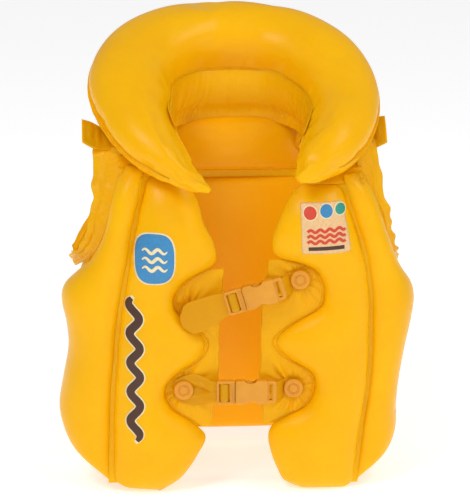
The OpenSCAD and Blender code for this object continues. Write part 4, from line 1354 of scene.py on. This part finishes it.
decal("badge_rim", FCL, disc(-76.5, 223.4, 18.6, 24.0, 3.0), INK_PALE, 0.10)
decal("badge_face", FCL, disc(-76.5, 223.4, 17.2, 22.6, 3.0), INK_BLUE, 0.24)
for k, zc in enumerate((230.5, 222.5, 214.5)):
    xq = np.linspace(-87.5, -65.5, 60)
    decal(f"badge_wave_{k}", FCL, ribbon2(np.stack([xq, zc + 1.9 * np.sin((xq + 76.5) * 2 * np.pi / 11)], 1),
                                          1.5 * np.sin(np.pi * (xq + 88.2) / 23.4) ** 0.5), INK_PALE, 0.38)
zq = np.linspace(188, 53, 240)
band = np.stack([-95.6 + 0.9 * np.cos((zq - 120) / 45) + 4.2 * np.sin((zq - 53) * 2 * np.pi / 27), zq], 1)
taper_b = np.clip(np.minimum(188.8 - zq, zq - 52.2) / 10, 0.05, 1) ** 0.5
decal("band_rim", FCL, ribbon2(band, 4.9 * taper_b, m=9), INK_PALE, 0.10)
decal("band_core", FCL, ribbon2(band[3:-3], 3.7 * taper_b[3:-3], m=9), INK_DARK, 0.24)
u_ = np.linspace(0, 1, 30)
PA, PB, PC, PD = np.array([53.0, 270.5]), np.array([91.0, 272.0]), np.array([99.0, 227.0]), np.array([54.2, 224.5])
G = (PA[None, None] * (1 - u_)[:, None, None] * (1 - u_)[None, :, None] + PB[None, None] * u_[:, None, None] * (1 - u_)[None, :, None]
     + PC[None, None] * u_[:, None, None] * u_[None, :, None] + PD[None, None] * (1 - u_)[:, None, None] * u_[None, :, None])
cx, cz = G.mean((0, 1))
qx, qz = (G[..., 0] - cx) / 26, (G[..., 1] - cz) / 25
sq = (np.abs(qx) ** 7 + np.abs(qz) ** 7) ** (1 / 7)
k_ = np.where(sq > 0.90, 0.90 / np.maximum(sq, 1e-6) * (1 + 0.0 * sq), 1.0)
G = np.stack([cx + (G[..., 0] - cx) * k_ ** 0.5, cz + (G[..., 1] - cz) * k_ ** 0.5], 2)
decal("label_panel", FCR, G, INK_WHITE, 0.10)
for k, (zc, ln, hw) in enumerate(((247.5, 34, 1.3), (242.5, 34, 1.3), (237.5, 34, 1.3))):
    xq = np.linspace(76 - ln / 2, 76 + ln / 2, 70)
    decal(f"label_wave_{k}", FCR, ribbon2(np.stack([xq, zc + 0.06 * (xq - 81) + 1.2 * np.sin(xq * 2 * np.pi / 8.5)], 1), hw), INK_RED, 0.24)
xq = np.linspace(60, 92, 40)
decal("label_bar", FCR, ribbon2(np.stack([xq, 231.2 + 0.04 * (xq - 81)], 1), 1.7), INK_DARK, 0.24)
for nm, (dx_, dz_), mt in (("dot_red", (61.6, 262.0), INK_RED), ("dot_blue", (76.0, 263.6), INK_BLUE), ("dot_green", (88.6, 264.6), INK_GREEN)):
    rr_ = 6.6 if nm != "dot_green" else 5.6
    decal(nm + "_rim", FCR, disc(dx_, dz_, rr_, rr_), INK_PALE, 0.22)
    decal(nm, FCR, disc(dx_, dz_, rr_ - 1.0, rr_ - 1.0), mt, 0.36)

# ------------------------------------------------------------------- stage
me = bpy.data.meshes.new("floor")
L = 6.0
me.from_pydata([(-L, -L, 0), (L, -L, 0), (L, L, 0), (-L, L, 0)], [], [(0, 1, 2, 3)])
floor = bpy.data.objects.new("floor", me)
sc.collection.objects.link(floor)
fm, fnt, fp = nodes_of("floor_pale")
fp.inputs["Base Color"].default_value = (0.93, 0.93, 0.93, 1)
fp.inputs["Roughness"].default_value = 0.7
fp.inputs["Emission Color"].default_value = (1, 1, 1, 1)
fp.inputs["Emission Strength"].default_value = 0.50
me.materials.append(fm)

w = bpy.data.worlds.new("studio")
w.use_nodes = True
w.node_tree.nodes["Background"].inputs[0].default_value = (1, 1, 1, 1)
w.node_tree.nodes["Background"].inputs[1].default_value = 0.40
lp = w.node_tree.nodes.new("ShaderNodeLightPath")
bg2 = w.node_tree.nodes.new("ShaderNodeBackground")
bg2.inputs[0].default_value = (1, 1, 1, 1)
bg2.inputs[1].default_value = 1.0
mxw = w.node_tree.nodes.new("ShaderNodeMixShader")
wo = [q for q in w.node_tree.nodes if q.type == "OUTPUT_WORLD"][0]
w.node_tree.links.new(lp.outputs["Is Camera Ray"], mxw.inputs[0])
w.node_tree.links.new(w.node_tree.nodes["Background"].outputs[0], mxw.inputs[1])
w.node_tree.links.new(bg2.outputs[0], mxw.inputs[2])
w.node_tree.links.new(mxw.outputs[0], wo.inputs[0])
sc.world = w


def area(name, loc, target, size, power, col=(1, 1, 1)):
    d = bpy.data.lights.new(name, "AREA")
    d.shape = "RECTANGLE"
    d.size, d.size_y = size
    d.energy = power
    d.color = col
    ob = bpy.data.objects.new(name, d)
    sc.collection.objects.link(ob)
    ob.location = loc
    ob.rotation_euler = (Vector(target) - Vector(loc)).to_track_quat("-Z", "Y").to_euler()
    return ob


area("key", (-1.0, -1.2, 2.0), (0, 0, 0.36), (0.8, 0.8), 17)
area("fill", (1.5, -1.4, 0.9), (0, 0, 0.2), (1.0, 1.2), 5)
area("front", (-0.15, -2.2, 0.95), (0, 0.05, 0.2), (1.6, 1.2), 4.5)
# light that reaches the inside of the back through the film
area("inner", (0.003, -0.052, 0.135), (0.003, 0.2, 0.135), (0.13, 0.24), 0.036)
area("rim", (0.9, -0.5, 1.7), (0.05, 0, 0.36), (0.6, 0.6), 6)
